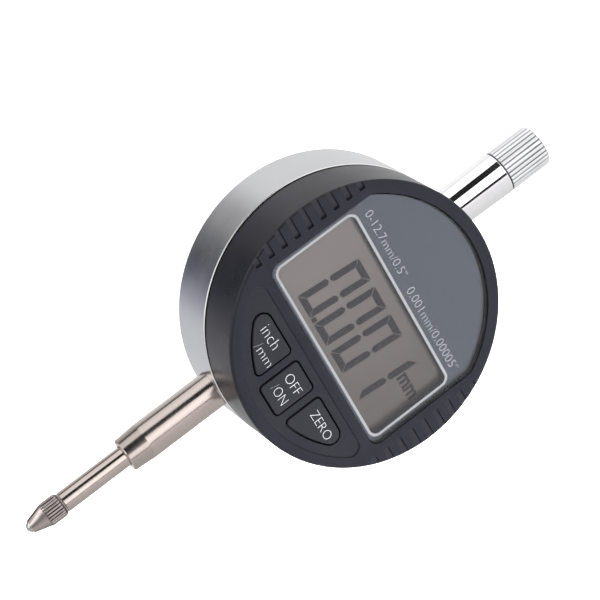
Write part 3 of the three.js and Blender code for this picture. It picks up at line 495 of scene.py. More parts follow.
def finish(name, colour, roughness, metallic=0.0, specular=0.5):
    """A new Principled material, kept in LOOKS by its name."""
    made = bpy.data.materials.new(name)
    made.use_nodes = True
    LOOKS[name] = made
    settle(surface(made), Base_Color=(*colour, 1), Roughness=roughness, Metallic=metallic)
    settle(surface(made), Specular_IOR_Level=specular)
    return made


def add(made, kind, **settings):
    node = made.node_tree.nodes.new("ShaderNode" + kind)
    for key, value in settings.items():
        setattr(node, key, value)
    return node


def settle(node, **values):
    """Sets the node's inputs; an underscore stands for the space in a name."""
    for name, value in values.items():
        node.inputs[name.replace("_", " ")].default_value = value


def surface(made):
    return made.node_tree.nodes["Principled BSDF"]


def link(made, source, target):
    made.node_tree.links.new(source, target)


def maths(made, operation, first, second=None):
    node = add(made, "Math", operation=operation)
    for socket, value in zip(node.inputs, (first, second)):
        if value is None:
            continue
        if isinstance(value, (int, float)):
            socket.default_value = value
        else:
            link(made, value, socket)
    return node.outputs[0]


def times(made, first, second):
    return maths(made, "MULTIPLY", first, second)


def mixture(made, first, share, second):
    return maths(made, "ADD", times(made, first, share), times(made, second, 1 - share))


def split(made, vector):
    parts = add(made, "SeparateXYZ")
    link(made, vector, parts.inputs[0])
    return parts.outputs


def show_mixed(made, share, first, second, end):
    """Ends the node tree, at the node called end, in a mix of two shaders."""
    mix = add(made, "MixShader")
    link(made, share, mix.inputs["Fac"])
    link(made, first.outputs[0], mix.inputs[1])
    link(made, second.outputs[0], mix.inputs[2])
    link(made, mix.outputs[0], made.node_tree.nodes[end].inputs["Surface"])


def place_mm(made):
    """Position on the piece, in millimetres in the frame's axes."""
    place = add(made, "TexCoord").outputs["Object"]
    scaled = add(made, "VectorMath", operation="SCALE")
    link(made, place, scaled.inputs[0])
    settle(scaled, Scale=1 / MM)
    return scaled.outputs[0]


def noise(made, vector, scale, detail=2.0, roughness=0.5):
    node = add(made, "TexNoise")
    link(made, vector, node.inputs["Vector"])
    settle(node, Scale=scale, Detail=detail, Roughness=roughness)
    return node.outputs["Fac"]


def between(made, value, low, high, from_low=0.3, from_high=0.7):
    node = add(made, "MapRange")
    link(made, value, node.inputs["Value"])
    settle(node, From_Min=from_low, From_Max=from_high, To_Min=low, To_Max=high)
    return node.outputs["Result"]


def shade(made, value, dark, light, deep=None):
    """Varies the base colour from dark to light with value, or from deep at zero."""
    ramp = add(made, "ValToRGB")
    if deep:
        ramp.color_ramp.elements.new(0).color = (*deep, 1)
    low, high = list(ramp.color_ramp.elements)[-2:]
    low.position = 0.3
    low.color = (*dark, 1)
    high.position = 0.7
    high.color = (*light, 1)
    link(made, value, ramp.inputs["Fac"])
    link(made, ramp.outputs["Color"], surface(made).inputs["Base Color"])


def rough(made, value, low, high):
    result = between(made, value, low, high)
    link(made, result, surface(made).inputs["Roughness"])


def bump(made, height, millimetres):
    node = add(made, "Bump")
    settle(node, Strength=1, Distance=millimetres * MM)
    link(made, height, node.inputs["Height"])
    link(made, node.outputs["Normal"], surface(made).inputs["Normal"])


def radius_about(made, vector, axis):
    """Distance from the case's axis, Z, or from the spindle's, Y."""
    x, y, z = split(made, vector)
    other = y if axis == "Z" else maths(made, "SUBTRACT", z, SPINDLE_Z)
    squares = [maths(made, "POWER", side, 2) for side in (x, other)]
    return maths(made, "SQRT", maths(made, "ADD", *squares))


def painted_flute_shade(made, radial, valley, ridge, along, end):
    """Painted shade for flutes: 0 on their floor, rising to 1 at their ridges and on everything beyond the
    end.
    """
    # The painted shade is full on the flute floors and gone at the ridges.
    off_floor = maths(made, "ABSOLUTE", maths(made, "SUBTRACT", radial, valley))
    clean = between(made, off_floor, 0.0, 1.0, 0.0, (ridge - valley) * 0.8)
    return maths(made, "MAXIMUM", clean, between(made, along, 1.0, 0.0, end - 0.2, end))


def turned_metal(
    name, dark, light, roughness, axis, line_width, line_depth, polish=0.35, flutes=None, deep=None
):
    """Metal finished on a lathe: fine rings round the axis, over cloudy changes of polish. flutes is
    (valley, ridge, end) where painted shade darkens the floor of the flutes, down to deep."""
    made = finish(name, light, roughness, 1.0)
    place = place_mm(made)
    along = split(made, place)[axis]
    radial = radius_about(made, place, axis)
    rings = add(made, "CombineXYZ")
    link(made, along, rings.inputs[0])
    link(made, radial, rings.inputs[1])
    lines = noise(made, rings.outputs[0], 1 / line_width, 3.0, 0.65)
    clouds = noise(made, place, 0.16, 3.0)
    tone = mixture(made, lines, 0.55, clouds)
    if flutes:
        valley, ridge, end = flutes
        # Painted shade on the floor of the flutes.
        tone = times(made, tone, painted_flute_shade(made, radial, valley, ridge, along, end))
    shade(made, tone, dark, light, deep)
    rough(made, clouds, roughness * (1 - polish), roughness * (1 + polish))
    bump(made, lines, line_depth)


def moulded_plastic(name, dark, light, roughness, grain, grain_depth, specular=0.5):
    """Moulded plastic with a fine eroded grain and slightly uneven gloss."""
    made = finish(name, light, roughness, 0.0, specular)
    place = place_mm(made)
    pits = noise(made, place, 1 / grain, 2.0)
    clouds = noise(made, place, 0.12, 3.0)
    shade(made, mixture(made, pits, 0.4, clouds), dark, light)
    rough(made, clouds, roughness * 0.85, roughness * 1.15)
    bump(made, pits, grain_depth)


def display_film():
    """The display's grey reflector, darker towards its right-hand end, with painted shade beside the walls of
    the window above it.
    """
    made = finish("display_face", (0.16, 0.145, 0.137), 0.42)
    place = place_mm(made)
    x, y, _ = split(made, place)
    clouds = noise(made, place, 0.12, 3.0)
    fall = between(made, x, 0.75, 0.25, LCD_LOW.x, LCD_HIGH.x)
    tone = maths(made, "ADD", fall, times(made, maths(made, "SUBTRACT", clouds, 0.5), 0.2))
    clear = 0.2
    # Painted shade: darker bands along the upper and right-hand edges, where the window's walls shade the
    # reflector.
    wall_shade = between(made, y, 0.0, 1.0, LCD_HIGH.y - 1.9, LCD_HIGH.y - clear)
    end = between(made, x, 0.0, 0.8, LCD_HIGH.x - 1.6, LCD_HIGH.x - clear)
    painted_shadow = maths(made, "MAXIMUM", wall_shade, end)
    tone = maths(made, "SUBTRACT", tone, times(made, times(made, painted_shadow, painted_shadow), 1.1))
    shade(made, tone, (0.050, 0.042, 0.039), (0.088, 0.077, 0.072))
    rough(made, clouds, 0.36, 0.48)


def clear_lens():
    """Thin clear acrylic: what is behind shows straight through, under a clean surface reflection."""
    made = bpy.data.materials.new("lens_acrylic")
    made.use_nodes = True
    LOOKS["lens_acrylic"] = made
    tree = made.node_tree
    tree.nodes.remove(tree.nodes["Principled BSDF"])
    through = add(made, "BsdfTransparent")
    settle(through, Color=(0.97, 0.975, 0.98, 1))
    gloss = add(made, "BsdfGlossy")
    smear = noise(made, place_mm(made), 0.22, 3.0)
    link(made, between(made, smear, 0.02, 0.06), gloss.inputs["Roughness"])
    slant = add(made, "LayerWeight")
    settle(slant, Blend=0.5)
    glancing = maths(made, "POWER", slant.outputs["Facing"], 5)
    straight_on = 0.05
    share = maths(made, "ADD", times(made, glancing, 1 - straight_on), straight_on)
    show_mixed(made, share, through, gloss, "Material Output")


def circuit_board():
    """Green solder mask over a pattern of copper tracks."""
    made = finish("board_mask", (0.02, 0.16, 0.07), 0.35)
    place = place_mm(made)
    tracks = add(made, "TexBrick")
    link(made, place, tracks.inputs["Vector"])
    settle(tracks, Scale=0.35, Mortar_Size=0.06, Mortar=(0.05, 0.25, 0.1, 1))
    settle(tracks, Color1=(0.012, 0.11, 0.05, 1), Color2=(0.018, 0.14, 0.06, 1))
    link(made, tracks.outputs["Color"], surface(made).inputs["Base Color"])
    rough(made, noise(made, place, 0.8), 0.28, 0.42)
    bump(made, tracks.outputs["Fac"], 0.02)


def make_looks():
    """Metals give dark and light colours, roughness, axis, ring width, ring depth and change of polish;
    plastics give dark and light colours, roughness, grain width, grain depth and specular level."""
    # The knob's and the grip's rows end in their painted flute shade and its deepest colour.
    knob_flute_shade = (KNOB_VALLEY, KNOB_RIDGE, KNOB_LOW.y)
    grip_flute_shade = (GRIP_VALLEY, GRIP_RIDGE, GRIP_LOW_Y - 0.4)
    metals = {
        "case_satin_steel": ((0.57, 0.575, 0.59), (0.645, 0.645, 0.66), 0.25, "Z", 0.09, 0.0012, 0.08),
        # The case's front chamfer: its own ground finish, with a lighter colour than the body as a painted
        # highlight.
        "case_ground_edge_and_highlight": ((0.84, 0.84, 0.85), (0.90, 0.90, 0.90), 0.3, "Z", 0.15, 0.0004, 0.1),
        "cover_satin_steel": ((0.575, 0.58, 0.595), (0.645, 0.65, 0.665), 0.3, "Z", 0.12, 0.002, 0.15),
        "stem_nickel": ((0.53, 0.462, 0.43), (0.62, 0.54, 0.505), 0.17, "Y", 0.07, 0.0008, 0.15),
        "spindle_steel": ((0.55, 0.48, 0.445), (0.65, 0.565, 0.525), 0.14, "Y", 0.06, 0.0008, 0.15),
        "chrome_plate": ((0.90, 0.90, 0.91), (0.96, 0.955, 0.955), 0.045, "Y", 0.5, 0.0003, 0.2),
        "chrome_knob": ((0.84, 0.84, 0.86), (0.90, 0.90, 0.91), 0.12, "Y", 0.5, 0.0003, 0.2)
        + (knob_flute_shade, (0.50, 0.50, 0.52)),
        "grip_steel": ((0.38, 0.33, 0.32), (0.50, 0.44, 0.42), 0.12, "Y", 0.06, 0.0008, 0.15)
        + (grip_flute_shade, (0.15, 0.13, 0.13)),
        "ball_carbide": ((0.46, 0.44, 0.43), (0.6, 0.58, 0.57), 0.08, "Y", 0.3, 0.0003),
        "fastener_steel": ((0.20, 0.20, 0.21), (0.34, 0.34, 0.35), 0.3, "Z", 0.1, 0.002),
        "spring_wire": ((0.36, 0.36, 0.37), (0.5, 0.5, 0.5), 0.25, "Y", 0.1, 0.001),
        "bush_bronze": ((0.42, 0.25, 0.09), (0.58, 0.37, 0.15), 0.32, "Y", 0.12, 0.002),
        "chassis_aluminium": ((0.55, 0.56, 0.58), (0.72, 0.73, 0.74), 0.36, "Z", 0.15, 0.002),
        "cell_steel": ((0.6, 0.6, 0.6), (0.76, 0.75, 0.74), 0.24, "Z", 0.3, 0.0015),
    }
    plastics = {
        "housing_plastic": ((0.006, 0.006, 0.010), (0.009, 0.009, 0.014), 0.3, 0.22, 0.006, 0.3),
        # Painted light: a slightly lighter copy of the housing plastic for the notch floors.
        "notch_floor_painted_light": ((0.010, 0.010, 0.013), (0.014, 0.013, 0.018), 0.4, 0.22, 0.006, 0.3),
        "panel_plastic": ((0.006, 0.006, 0.010), (0.010, 0.010, 0.014), 0.36, 0.3, 0.006, 0.36),
        "button_plastic": ((0.008, 0.008, 0.012), (0.012, 0.012, 0.016), 0.34, 0.26, 0.005, 0.38),
        "tray_plastic": ((0.010, 0.010, 0.013), (0.016, 0.016, 0.020), 0.32, 0.22, 0.006),
        "holder_plastic": ((0.55, 0.54, 0.50), (0.66, 0.65, 0.61), 0.5, 0.3, 0.006),
        "chip_plastic": ((0.008, 0.008, 0.009), (0.02, 0.02, 0.022), 0.55, 0.15, 0.01),
        "seal_rubber": ((0.008, 0.008, 0.008), (0.02, 0.02, 0.02), 0.75, 0.18, 0.01),
        "keypad_silicone": ((0.10, 0.10, 0.11), (0.15, 0.15, 0.16), 0.65, 0.25, 0.008),
        "flex_film": ((0.38, 0.17, 0.03), (0.52, 0.25, 0.05), 0.3, 0.4, 0.004),
        "window_paint": ((0.030, 0.035, 0.045), (0.033, 0.038, 0.049), 0.5, 0.35, 0.0003),
        "line_silver": ((0.21, 0.21, 0.215), (0.245, 0.245, 0.25), 0.4, 0.2, 0.001),
        # Black paint standing in for shade: painted shadow in the seam under the housing, inside the window's
        # rim and on the lens's far edge.
        "shadow_ink": ((0.003, 0.003, 0.004), (0.005, 0.005, 0.006), 0.5, 0.3, 0.0003, 0.15),
        "window_ink": ((0.25, 0.26, 0.27), (0.30, 0.31, 0.32), 0.5, 0.2, 0.002),
        "print_white": ((0.44, 0.45, 0.48), (0.52, 0.53, 0.56), 0.5, 0.2, 0.002),
        "segment_ink": ((0.008, 0.008, 0.010), (0.013, 0.012, 0.015), 0.6, 0.3, 0.0003, 0.2),
    }
    for name, look in metals.items():
        turned_metal(name, *look)
    for name, look in plastics.items():
        moulded_plastic(name, *look)
    display_film()
    clear_lens()
    circuit_board()


# ---- case


def make_case():
    edge = CASE_EDGE
    profile = [
        (COVER_SEAT_RADIUS, CASE_LOW.z),
        (CASE_RADIUS - edge, CASE_LOW.z),
        (CASE_RADIUS, CASE_LOW.z + edge),
        (CASE_RADIUS, CASE_HIGH.z - edge),
        (CASE_RADIUS - edge, CASE_HIGH.z),
        (CASE_INNER_RADIUS, CASE_HIGH.z),
        (CASE_INNER_RADIUS, SNAP_GROOVE_Z[1]),
        (SNAP_GROOVE_RADIUS, SNAP_GROOVE_Z[1]),
        (SNAP_GROOVE_RADIUS, SNAP_GROOVE_Z[0]),
        (CASE_INNER_RADIUS, SNAP_GROOVE_Z[0]),
        (CASE_INNER_RADIUS, COVER_LEDGE_Z),
        (COVER_SEAT_RADIUS, COVER_LEDGE_Z),
        (COVER_SEAT_RADIUS, CASE_LOW.z),
    ]
    boss = rod(BOSS_RADIUS, COVER_LEDGE_Z, BOSS_TOP_Z)
    boss_hole = rod(BOSS_HOLE_RADIUS, *BOSS_HOLE_Z)
    lugs = []
    lug_holes = []
    for side in (-1, 1):
        ends = sorted((side * LUG_INNER_X, side * (CASE_INNER_RADIUS + 0.5)))
        lugs.append(block(ends, (-LUG_HALF_WIDTH, LUG_HALF_WIDTH), LUG_Z))
        lug_holes.append(at(rod(LUG_HOLE_RADIUS, *LUG_HOLE_Z), side * LUG_HOLE_X, 0))
    beyond = CASE_RADIUS + 1
    bores = [
        (BORE, -SEAT_Y - 1, SEAT_Y + 1),
        (STEM_RADIUS + FIT, -beyond, -SEAT_Y),
        (SLEEVE_RADIUS + FIT, SEAT_Y, beyond),
    ]
    pin_hole = at_angle(rod(PIN_HOLE_RADIUS, *PIN_HOLE_Z), PIN_DISTANCE, BOSS_ANGLES[2])
    made = piece(
        "case_shell",
        turned(filleted(profile, 0.06), RIM_STEPS),
        ["case_satin_steel", "case_ground_edge_and_highlight"],
        "case",
        ["case_body"],
        "case_steel",
        join=[*(at_angle(boss, BOSS_DISTANCE, a) for a in BOSS_ANGLES), *lugs],
        cut=[
            *(at_angle(boss_hole, BOSS_DISTANCE, a) for a in BOSS_ANGLES),
            *lug_holes,
            *(on_spindle(turned([(0, low), (r, low), (r, high), (0, high)])) for r, low, high in bores),
            pin_hole,
        ],
        sharp=40,
    )
    front_edge = CASE_HIGH.z - edge - 0.02

    def on_chamfer(middle, normal):
        return middle.z > front_edge and math.hypot(middle.x, middle.y) > CASE_RADIUS - edge - 0.1

    # The chamfer gets the ground finish, lighter than the case as a painted highlight.
    paint_faces(made, 1, on_chamfer)


def make_back():
    rim = 0.4
    outer = COVER_HIGH.x
    profile = [(0, 0), (outer - rim, 0), (outer, rim), (outer, COVER_HIGH.z), (0, COVER_HIGH.z)]
    counterbore = stacked(disc_outline(HEAD_HOLE_RADIUS), [(g, -z) for g, z in rim_up(0, 0.15, 1)])
    hole = rod(SHANK_HOLE_RADIUS, -1, 3)
    cuts = [at_angle(shape, BOSS_DISTANCE, a) for a in BOSS_ANGLES for shape in (counterbore, hole)]
    cover = turned(filleted(profile, 0.15), RIM_STEPS)
    piece("rear_cover", cover, ["cover_satin_steel"], "case", ["back_cover"], "case_steel", cut=cuts)
    for i, angle in enumerate(BOSS_ANGLES):
        make_back_screw(i + 1, angle)


def cross_cutter(width, reach, depth, face):
    """A tapered cross recess that opens towards -Z at height face."""
    def bar(turn):
        outline = [(-reach, -width), (reach, -width), (reach, width), (-reach, width)]
        taper = 0.55
        low = [(x, y, face - 0.2) for x, y in outline]
        high = [(x * taper, y * taper, face + depth) for x, y in outline]
        faces = [(0, 1, 5, 4), (1, 2, 6, 5), (2, 3, 7, 6), (3, 0, 4, 7), (3, 2, 1, 0), (4, 5, 6, 7)]
        return placed(([*low, *high], faces), Matrix.Rotation(turn, 4, "Z"))

    return [bar(math.radians(20)), bar(math.radians(110))]


def make_back_screw(number, angle):
    low, high = box_mm(f"back_screw_{number}")
    head = (high.x - low.x) / 2
    shank = 1
    edge = 0.3
    under_head = low.z + 0.75
    profile = [
        (0, low.z),
        (head - edge, low.z),
        (head, low.z + edge),
        (head, under_head),
        (shank, under_head),
        (shank, high.z),
        (0, high.z),
    ]
    name = f"rear_screw_{number}"
    body = at_angle(turned(filleted(profile, 0.12, 3), SCREW_STEPS), BOSS_DISTANCE, angle)
    cuts = [at_angle(bar, BOSS_DISTANCE, angle) for bar in cross_cutter(0.26, 1.15, 0.45, low.z)]
    piece(name, body, ["fastener_steel"], "case", [f"back_screw_{number}"], "fastener_steel", cut=cuts)


def make_stem():
    inner_y = STEM_HIGH.y
    end_y = STEM_LOW.y
    taper_y = end_y + 5
    taper_radius = 3.69
    mouth = 2.45
    mouth_y = end_y + 1.2
    profile = [
        (BORE, inner_y),
        (STEM_RADIUS, inner_y),
        (STEM_RADIUS, taper_y),
        (taper_radius, end_y + 0.22),
        (taper_radius - 0.21, end_y),
        (mouth, end_y),
        (mouth, mouth_y),
        (BORE, mouth_y),
        (BORE, inner_y),
    ]
    tube = on_spindle(turned(filleted(profile, 0.06, 3)))
    piece("stem_tube", tube, ["stem_nickel"], "case", ["stem"], "stem_steel")


def make_sleeve():
    inner_y = SLEEVE_LOW.y
    top_y = SLEEVE_HIGH.y
    top_radius = SLEEVE_HIGH.x
    edge = 0.25
    profile = [
        (BORE, inner_y),
        (SLEEVE_RADIUS, inner_y),
        (SLEEVE_RADIUS, CASE_RADIUS + 0.5),
        (top_radius, top_y - edge),
        (top_radius - edge, top_y),
        (BORE, top_y),
        (BORE, inner_y),
    ]
    sleeve = on_spindle(turned(filleted(profile, 0.12, 4)))
    piece("sleeve", sleeve, ["chrome_plate"], "case", ["top_sleeve"], "chrome_plate")


def make_wiper():
    low, high = box_mm("wiper_seal")
    lip = 2.3
    slope = 0.05
    profile = [
        (lip + slope, low.y),
        (high.x, low.y),
        (high.x, high.y),
        (lip, high.y),
        (lip + slope, low.y),
    ]
    wiper = on_spindle(turned(profile))
    piece("stem_wiper", wiper, ["seal_rubber"], "case", ["wiper_seal"], "seal_rubber")


def make_spring():
    """A helix of round wire with closed end turns and evenly spaced free turns."""
    low = SPRING_LOW.y
    high = SPRING_HIGH.y
    inner_radius = 2.5
    wire = 0.2
    coil_radius = (inner_radius + SPRING_HIGH.x) / 2
    turns = 15
    steps = 28
    sides = 8
    end_turns = 1.2
    first = low + wire
    free_length = high - wire - first - 2 * end_turns * 2 * wire
    vertices = []
    for i in range(turns * steps + 1):
        turn = i / steps
        free = min(max((turn - end_turns) / (turns - 2 * end_turns), 0), 1)
        closed_turns = min(turn, end_turns) + max(turn - (turns - end_turns), 0)
        y = first + closed_turns * 2 * wire + free * free_length
        angle = 2 * math.pi * turn
        for k in range(sides):
            around = 2 * math.pi * k / sides
            r = coil_radius + wire * math.cos(around)
            height = y + wire * math.sin(around)
            vertices.append((r * math.cos(angle), height, SPINDLE_Z + r * math.sin(angle)))
    faces = []
    for i in range(turns * steps):
        for k in range(sides):
            j = (k + 1) % sides
            faces.append((i * sides + k, i * sides + j, (i + 1) * sides + j, (i + 1) * sides + k))
    faces.append(tuple(range(sides)))
    faces.append(tuple(range(len(vertices) - sides, len(vertices))))
    shape = (vertices, faces)
    made = piece("spring_wire_coil", shape, ["spring_wire"], "case", ["return_spring"], "spring_steel")
    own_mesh(made)


# ---- spindle


def make_spindle():
    low = ROD_LOW.y
    high = ROD_HIGH.y
    edge = 0.15
    bore = 1.25
    bore_end = low + 5.5
    profile = [
        (0, bore_end),
        (bore, bore_end),
        (bore, low),
        (ROD_RADIUS - edge, low),
        (ROD_RADIUS, low + edge),
        (ROD_RADIUS, high),
        (0, high),
    ]
    spindle = on_spindle(turned(profile, 96))
    piece("spindle", spindle, ["spindle_steel"], "spindle", ["spindle_rod"], "stem_steel")


def flute_depth(flutes, depth, sharpness, angle):
    """Narrow rounded valleys between broad ridges."""
    return depth * (math.sin(flutes * angle / 2) ** 2) ** sharpness


def fine_rows(points, step):
    """A profile with its long stretches divided, so that flutes can run out on it."""
    made = [points[0]]
    for (r0, h0), (r1, h1) in zip(points, points[1:]):
        count = max(1, math.ceil(math.dist((r0, h0), (r1, h1)) / step))
        for i in range(1, count + 1):
            made.append((r0 + (r1 - r0) * i / count, h0 + (h1 - h0) * i / count))
    return made


def make_contact_point():
    rear_y = ROD_LOW.y - 0.1
    socket = BALL_RADIUS + 0.05
    nose_gap = 0.12
    ball_y = TIP_Y + BALL_RADIUS
    nose_y = HOLDER_LOW.y
    mouth_angle = math.asin((nose_y + nose_gap - ball_y) / socket)
    hollow = arc(0, ball_y, socket, math.pi / 2, mouth_angle, 8)
    run_out_y = GRIP_LOW_Y - 1.1
    run_out = NOSE_RADIUS + (GRIP_RIDGE - NOSE_RADIUS) * (run_out_y - nose_y) / (GRIP_LOW_Y - nose_y)
    cone = fine_rows([(run_out, run_out_y), (GRIP_RIDGE, GRIP_LOW_Y)], 0.1)
    shoulder_y = rear_y - 0.7
    grip = fine_rows([(GRIP_RIDGE, GRIP_LOW_Y + CRISP), (GRIP_RIDGE, shoulder_y), (ROD_RADIUS, rear_y)], 0.4)
    stud = [(1.2, rear_y), (1.2, HOLDER_HIGH.y), (0, HOLDER_HIGH.y)]
    rim = [(hollow[-1][0], nose_y + nose_gap), (NOSE_RADIUS - 0.06, nose_y), (NOSE_RADIUS, nose_y + 0.06)]
    profile = [(0, hollow[0][1]), *hollow[1:], *rim, *cone, *grip, *stud]

    def fluted(radius, angle):
        depth = GRIP_RIDGE - GRIP_VALLEY
        return min(radius, GRIP_RIDGE - flute_depth(GRIP_FLUTES, depth, 2, angle))

    holder = on_spindle(turned(profile, GRIP_FLUTES * 12, fluted))
    piece("contact_body", holder, ["grip_steel"], "spindle", ["contact_holder"], "stem_steel", sharp=50)
    outside = arc(0, ball_y, BALL_RADIUS, -math.pi / 2, math.pi / 2 - 0.25, 40)
    ball = on_spindle(turned([(0, TIP_Y), *outside[1:], (0, outside[-1][1])], 64))
    piece("contact_tip", ball, ["ball_carbide"], "spindle", ["contact_ball"], "ball_carbide")


def make_knob():
    low = KNOB_LOW.y
    high = KNOB_HIGH.y
    edge = 0.07
    bevel = 0.45
    recess = RING_HIGH.x + 0.1
    recess_end = RING_HIGH.y + 0.05
    outside = [
        (KNOB_BORE, KNOB_BORE_END),
        (KNOB_BORE, recess_end),
        (recess, recess_end),
        (recess, low),
        (KNOB_RIDGE - edge, low),
        (KNOB_RIDGE, low + edge),
        (KNOB_RIDGE, high - bevel),
        (KNOB_RIDGE - bevel, high),
    ]
    profile = [(0, KNOB_BORE_END), *filleted([*outside, (0, high)], 0.25, 6)]

    def fluted(radius, angle):
        ridge = KNOB_RIDGE - flute_depth(KNOB_FLUTES, KNOB_RIDGE - KNOB_VALLEY, 3, angle)
        return min(radius, ridge) if radius > recess + 0.01 else radius

    knob = on_spindle(turned(profile, KNOB_FLUTES * 12, fluted))
    piece("knob", knob, ["chrome_knob"], "spindle", ["lifting_knob"], "chrome_plate", sharp=50)
    ring = [
        (KNOB_BORE, RING_LOW.y),
        (RING_HIGH.x, RING_LOW.y),
        (RING_HIGH.x, RING_HIGH.y),
        (KNOB_BORE, RING_HIGH.y),
        (KNOB_BORE, RING_LOW.y),
    ]
    stop = on_spindle(turned(filleted(ring, 0.1, 3)))
    piece("knob_stop_ring", stop, ["seal_rubber"], "spindle", ["knob_ring"], "seal_rubber")


# ---- display unit


def notch_cutters():
    middle = (NOTCHES_EACH_SIDE - 1) / 2
    rim = 0.1
    made = []
    for i in range(NOTCHES_EACH_SIDE):
        y = (i - middle) * NOTCH_PITCH
        for side in (-1, 1):
            ends = sorted((side * NOTCH_INNER_X, side * (HOUSING_RADIUS + 2)))

            def outline(grow, y=y, ends=ends):
                across = (y - NOTCH_WIDTH / 2 - grow, y + NOTCH_WIDTH / 2 + grow)
                return rounded_rectangle((ends[0] - grow, ends[1] + grow), across, 0.15 + grow, 4)

            made.append(stacked(outline, rim_up(FACE_Z, rim, NOTCH_DEPTH)))
    return made


def make_housing():
    radius = HOUSING_RADIUS
    profile = [
        (0, FACE_Z),
        (radius, FACE_Z),
        (radius, HOUSING_LOW.z),
        (HOUSING_INNER_RADIUS, HOUSING_LOW.z),
        (HOUSING_INNER_RADIUS, CEILING_Z),
        (0, CEILING_Z),
    ]
    front_edge = filleted(profile[:3], 0.72, 10)
    rear_edge = filleted(profile[2:5], 0.12, 3)
    rear_edge[0] = (radius, HOUSING_LOW.z + SEAM_GAP)
    rear_edge.insert(1, (radius - SEAM_BEVEL, HOUSING_LOW.z))
    seam_top = HOUSING_LOW.z + SEAM_GAP + SEAM_SHADE_BAND
    shell = turned([*front_edge[:-1], (radius, seam_top), *rear_edge, profile[5]], RIM_STEPS)
    through = FACE_Z - CEILING_Z + 1
    groove = BUTTON_GROOVE / 2
    slot_half = DRAWER_HALF_WIDTH + 0.25
    slot_z = (TRAY_LOW.z - 0.2, TRAY_HIGH.z + 0.15)
    panel_depth = FACE_Z - PANEL_Z

    def button_hole(outline):
        levels = [(g + groove, z) for g, z in rim_up(PANEL_Z, 0.14, through)]
        return stacked(outline, levels)

    cuts = [
        stacked(window_outline, [(g + 0.15, z) for g, z in rim_up(FACE_Z, 0.16, through)]),
        stacked(panel_outline, rim_up(FACE_Z, panel_depth - 0.01, panel_depth)),
        button_hole(middle_button_outline),
        button_hole(side_button_outline),
        button_hole(partial(side_button_outline, side=-1)),
        *notch_cutters(),
        in_drawer(block((24, radius + 1), (-slot_half, slot_half), slot_z)),
    ]
    made = piece(
        "housing_shell",
        shell,
        ["housing_plastic", "panel_plastic", "notch_floor_painted_light", "shadow_ink"],
        "display",
        ["front_housing"],
        "dark_plastic",
        cut=cuts,
        sharp=40,
    )

    def floor_at(height):
        return lambda middle, normal: abs(middle.z - height) < 0.02 and normal.z > 0.9

    # Painted shadow: the housing's lowest band, above the seam, gets black ink for the shade in the gap.
    def in_seam_shade(middle, normal):
        return middle.z < seam_top and math.hypot(middle.x, middle.y) > radius - 0.2

    paint_faces(made, 1, floor_at(PANEL_Z))
    # Painted light: the notch floors get a lighter copy of the housing plastic.
    paint_faces(made, 2, floor_at(FACE_Z - NOTCH_DEPTH))
    paint_faces(made, 3, in_seam_shade)


def make_window():
    edge = 0.12
    levels = [*edge_down(0, LENS_LOW.z, edge), *edge_up(0, LENS_HIGH.z, edge)]
    looks = ["lens_acrylic", "shadow_ink"]
    lens = piece("window_lens", stacked(window_outline, levels), looks, "display", ["lens"], "lens_clear")
    # The lens's far edge is black: partly edge paint, partly painted shade for the dark band there.
    paint_faces(lens, 1, lambda middle, normal: abs(normal.z) < 0.1 and normal.y > 0.3)
    opening = stacked(opening_outline, rim_up(PLATE_HIGH.z, 0.1, 3))
    plate = stacked(window_outline, [(0, PLATE_LOW.z), *edge_up(0, PLATE_HIGH.z, 0.06)])
    piece("window_mask", plate, ["window_paint"], "display", ["window_plate"], "window_grey", cut=[opening])
    low = PLATE_HIGH.z + INK_LIFT
    ring = prism(opening_outline(0.66), low, low + INK)
    hole = prism(opening_outline(0.1), low - 1, low + 1)
    piece("window_line", ring, ["line_silver"], "display", slot="window_grey", cut=[hole])
    # Painted shadow: a black band inside the window's rim, widest along the top edge where the recess's shade
    # falls.
    shade_band = prism(window_outline(-0.02), low, low + INK)
    inside = at(prism(window_outline(-SHADE_BAND_WIDTH), low - 1, low + 1), 0, -SHADE_BAND_SHIFT)
    piece("window_shade_band", shade_band, ["shadow_ink"], "display", slot="window_grey", cut=[inside])


def make_display():
    edge = 0.12

    def outline(grow):
        across = (LCD_LOW.x - grow, LCD_HIGH.x + grow)
        heights = (LCD_LOW.y - grow, LCD_HIGH.y + grow)
        return rounded_rectangle(across, heights, 0.5 + grow, 4)

    top = LCD_HIGH.z - INK
    glass = stacked(outline, [*edge_down(0, LCD_LOW.z, edge), *edge_up(0, top, edge)])
    piece("display_glass", glass, ["display_face"], "display", ["lcd_panel"], "display_glass")
    make_digits(top)


def segment_polygons():
    """The bars of one seven-segment digit, with mitred ends and thin gaps, from its lower left corner."""
    width = DIGIT_WIDTH
    height = DIGIT_HEIGHT
    gap = 0.14
    mitre = STROKE + gap * 0.4
    top = [(gap, height), (width - gap, height), (width - mitre, height - STROKE), (mitre, height - STROKE)]
    upper_left = [
        (0, height - gap),
        (STROKE, height - STROKE - gap * 0.6),
        (STROKE, height / 2 + STROKE * 0.55),
        (STROKE * 0.5, height / 2 + gap),
        (0, height / 2 + gap + STROKE * 0.3),
    ]

    def flip_x(points):
        return [(width - x, y) for x, y in points]

    def flip_y(points):
        return [(x, height - y) for x, y in points]

    return {
        "a": top,
        "f": upper_left,
        "b": flip_x(upper_left),
        "e": flip_y(upper_left),
        "c": flip_y(flip_x(upper_left)),
        "d": flip_y(top),
    }


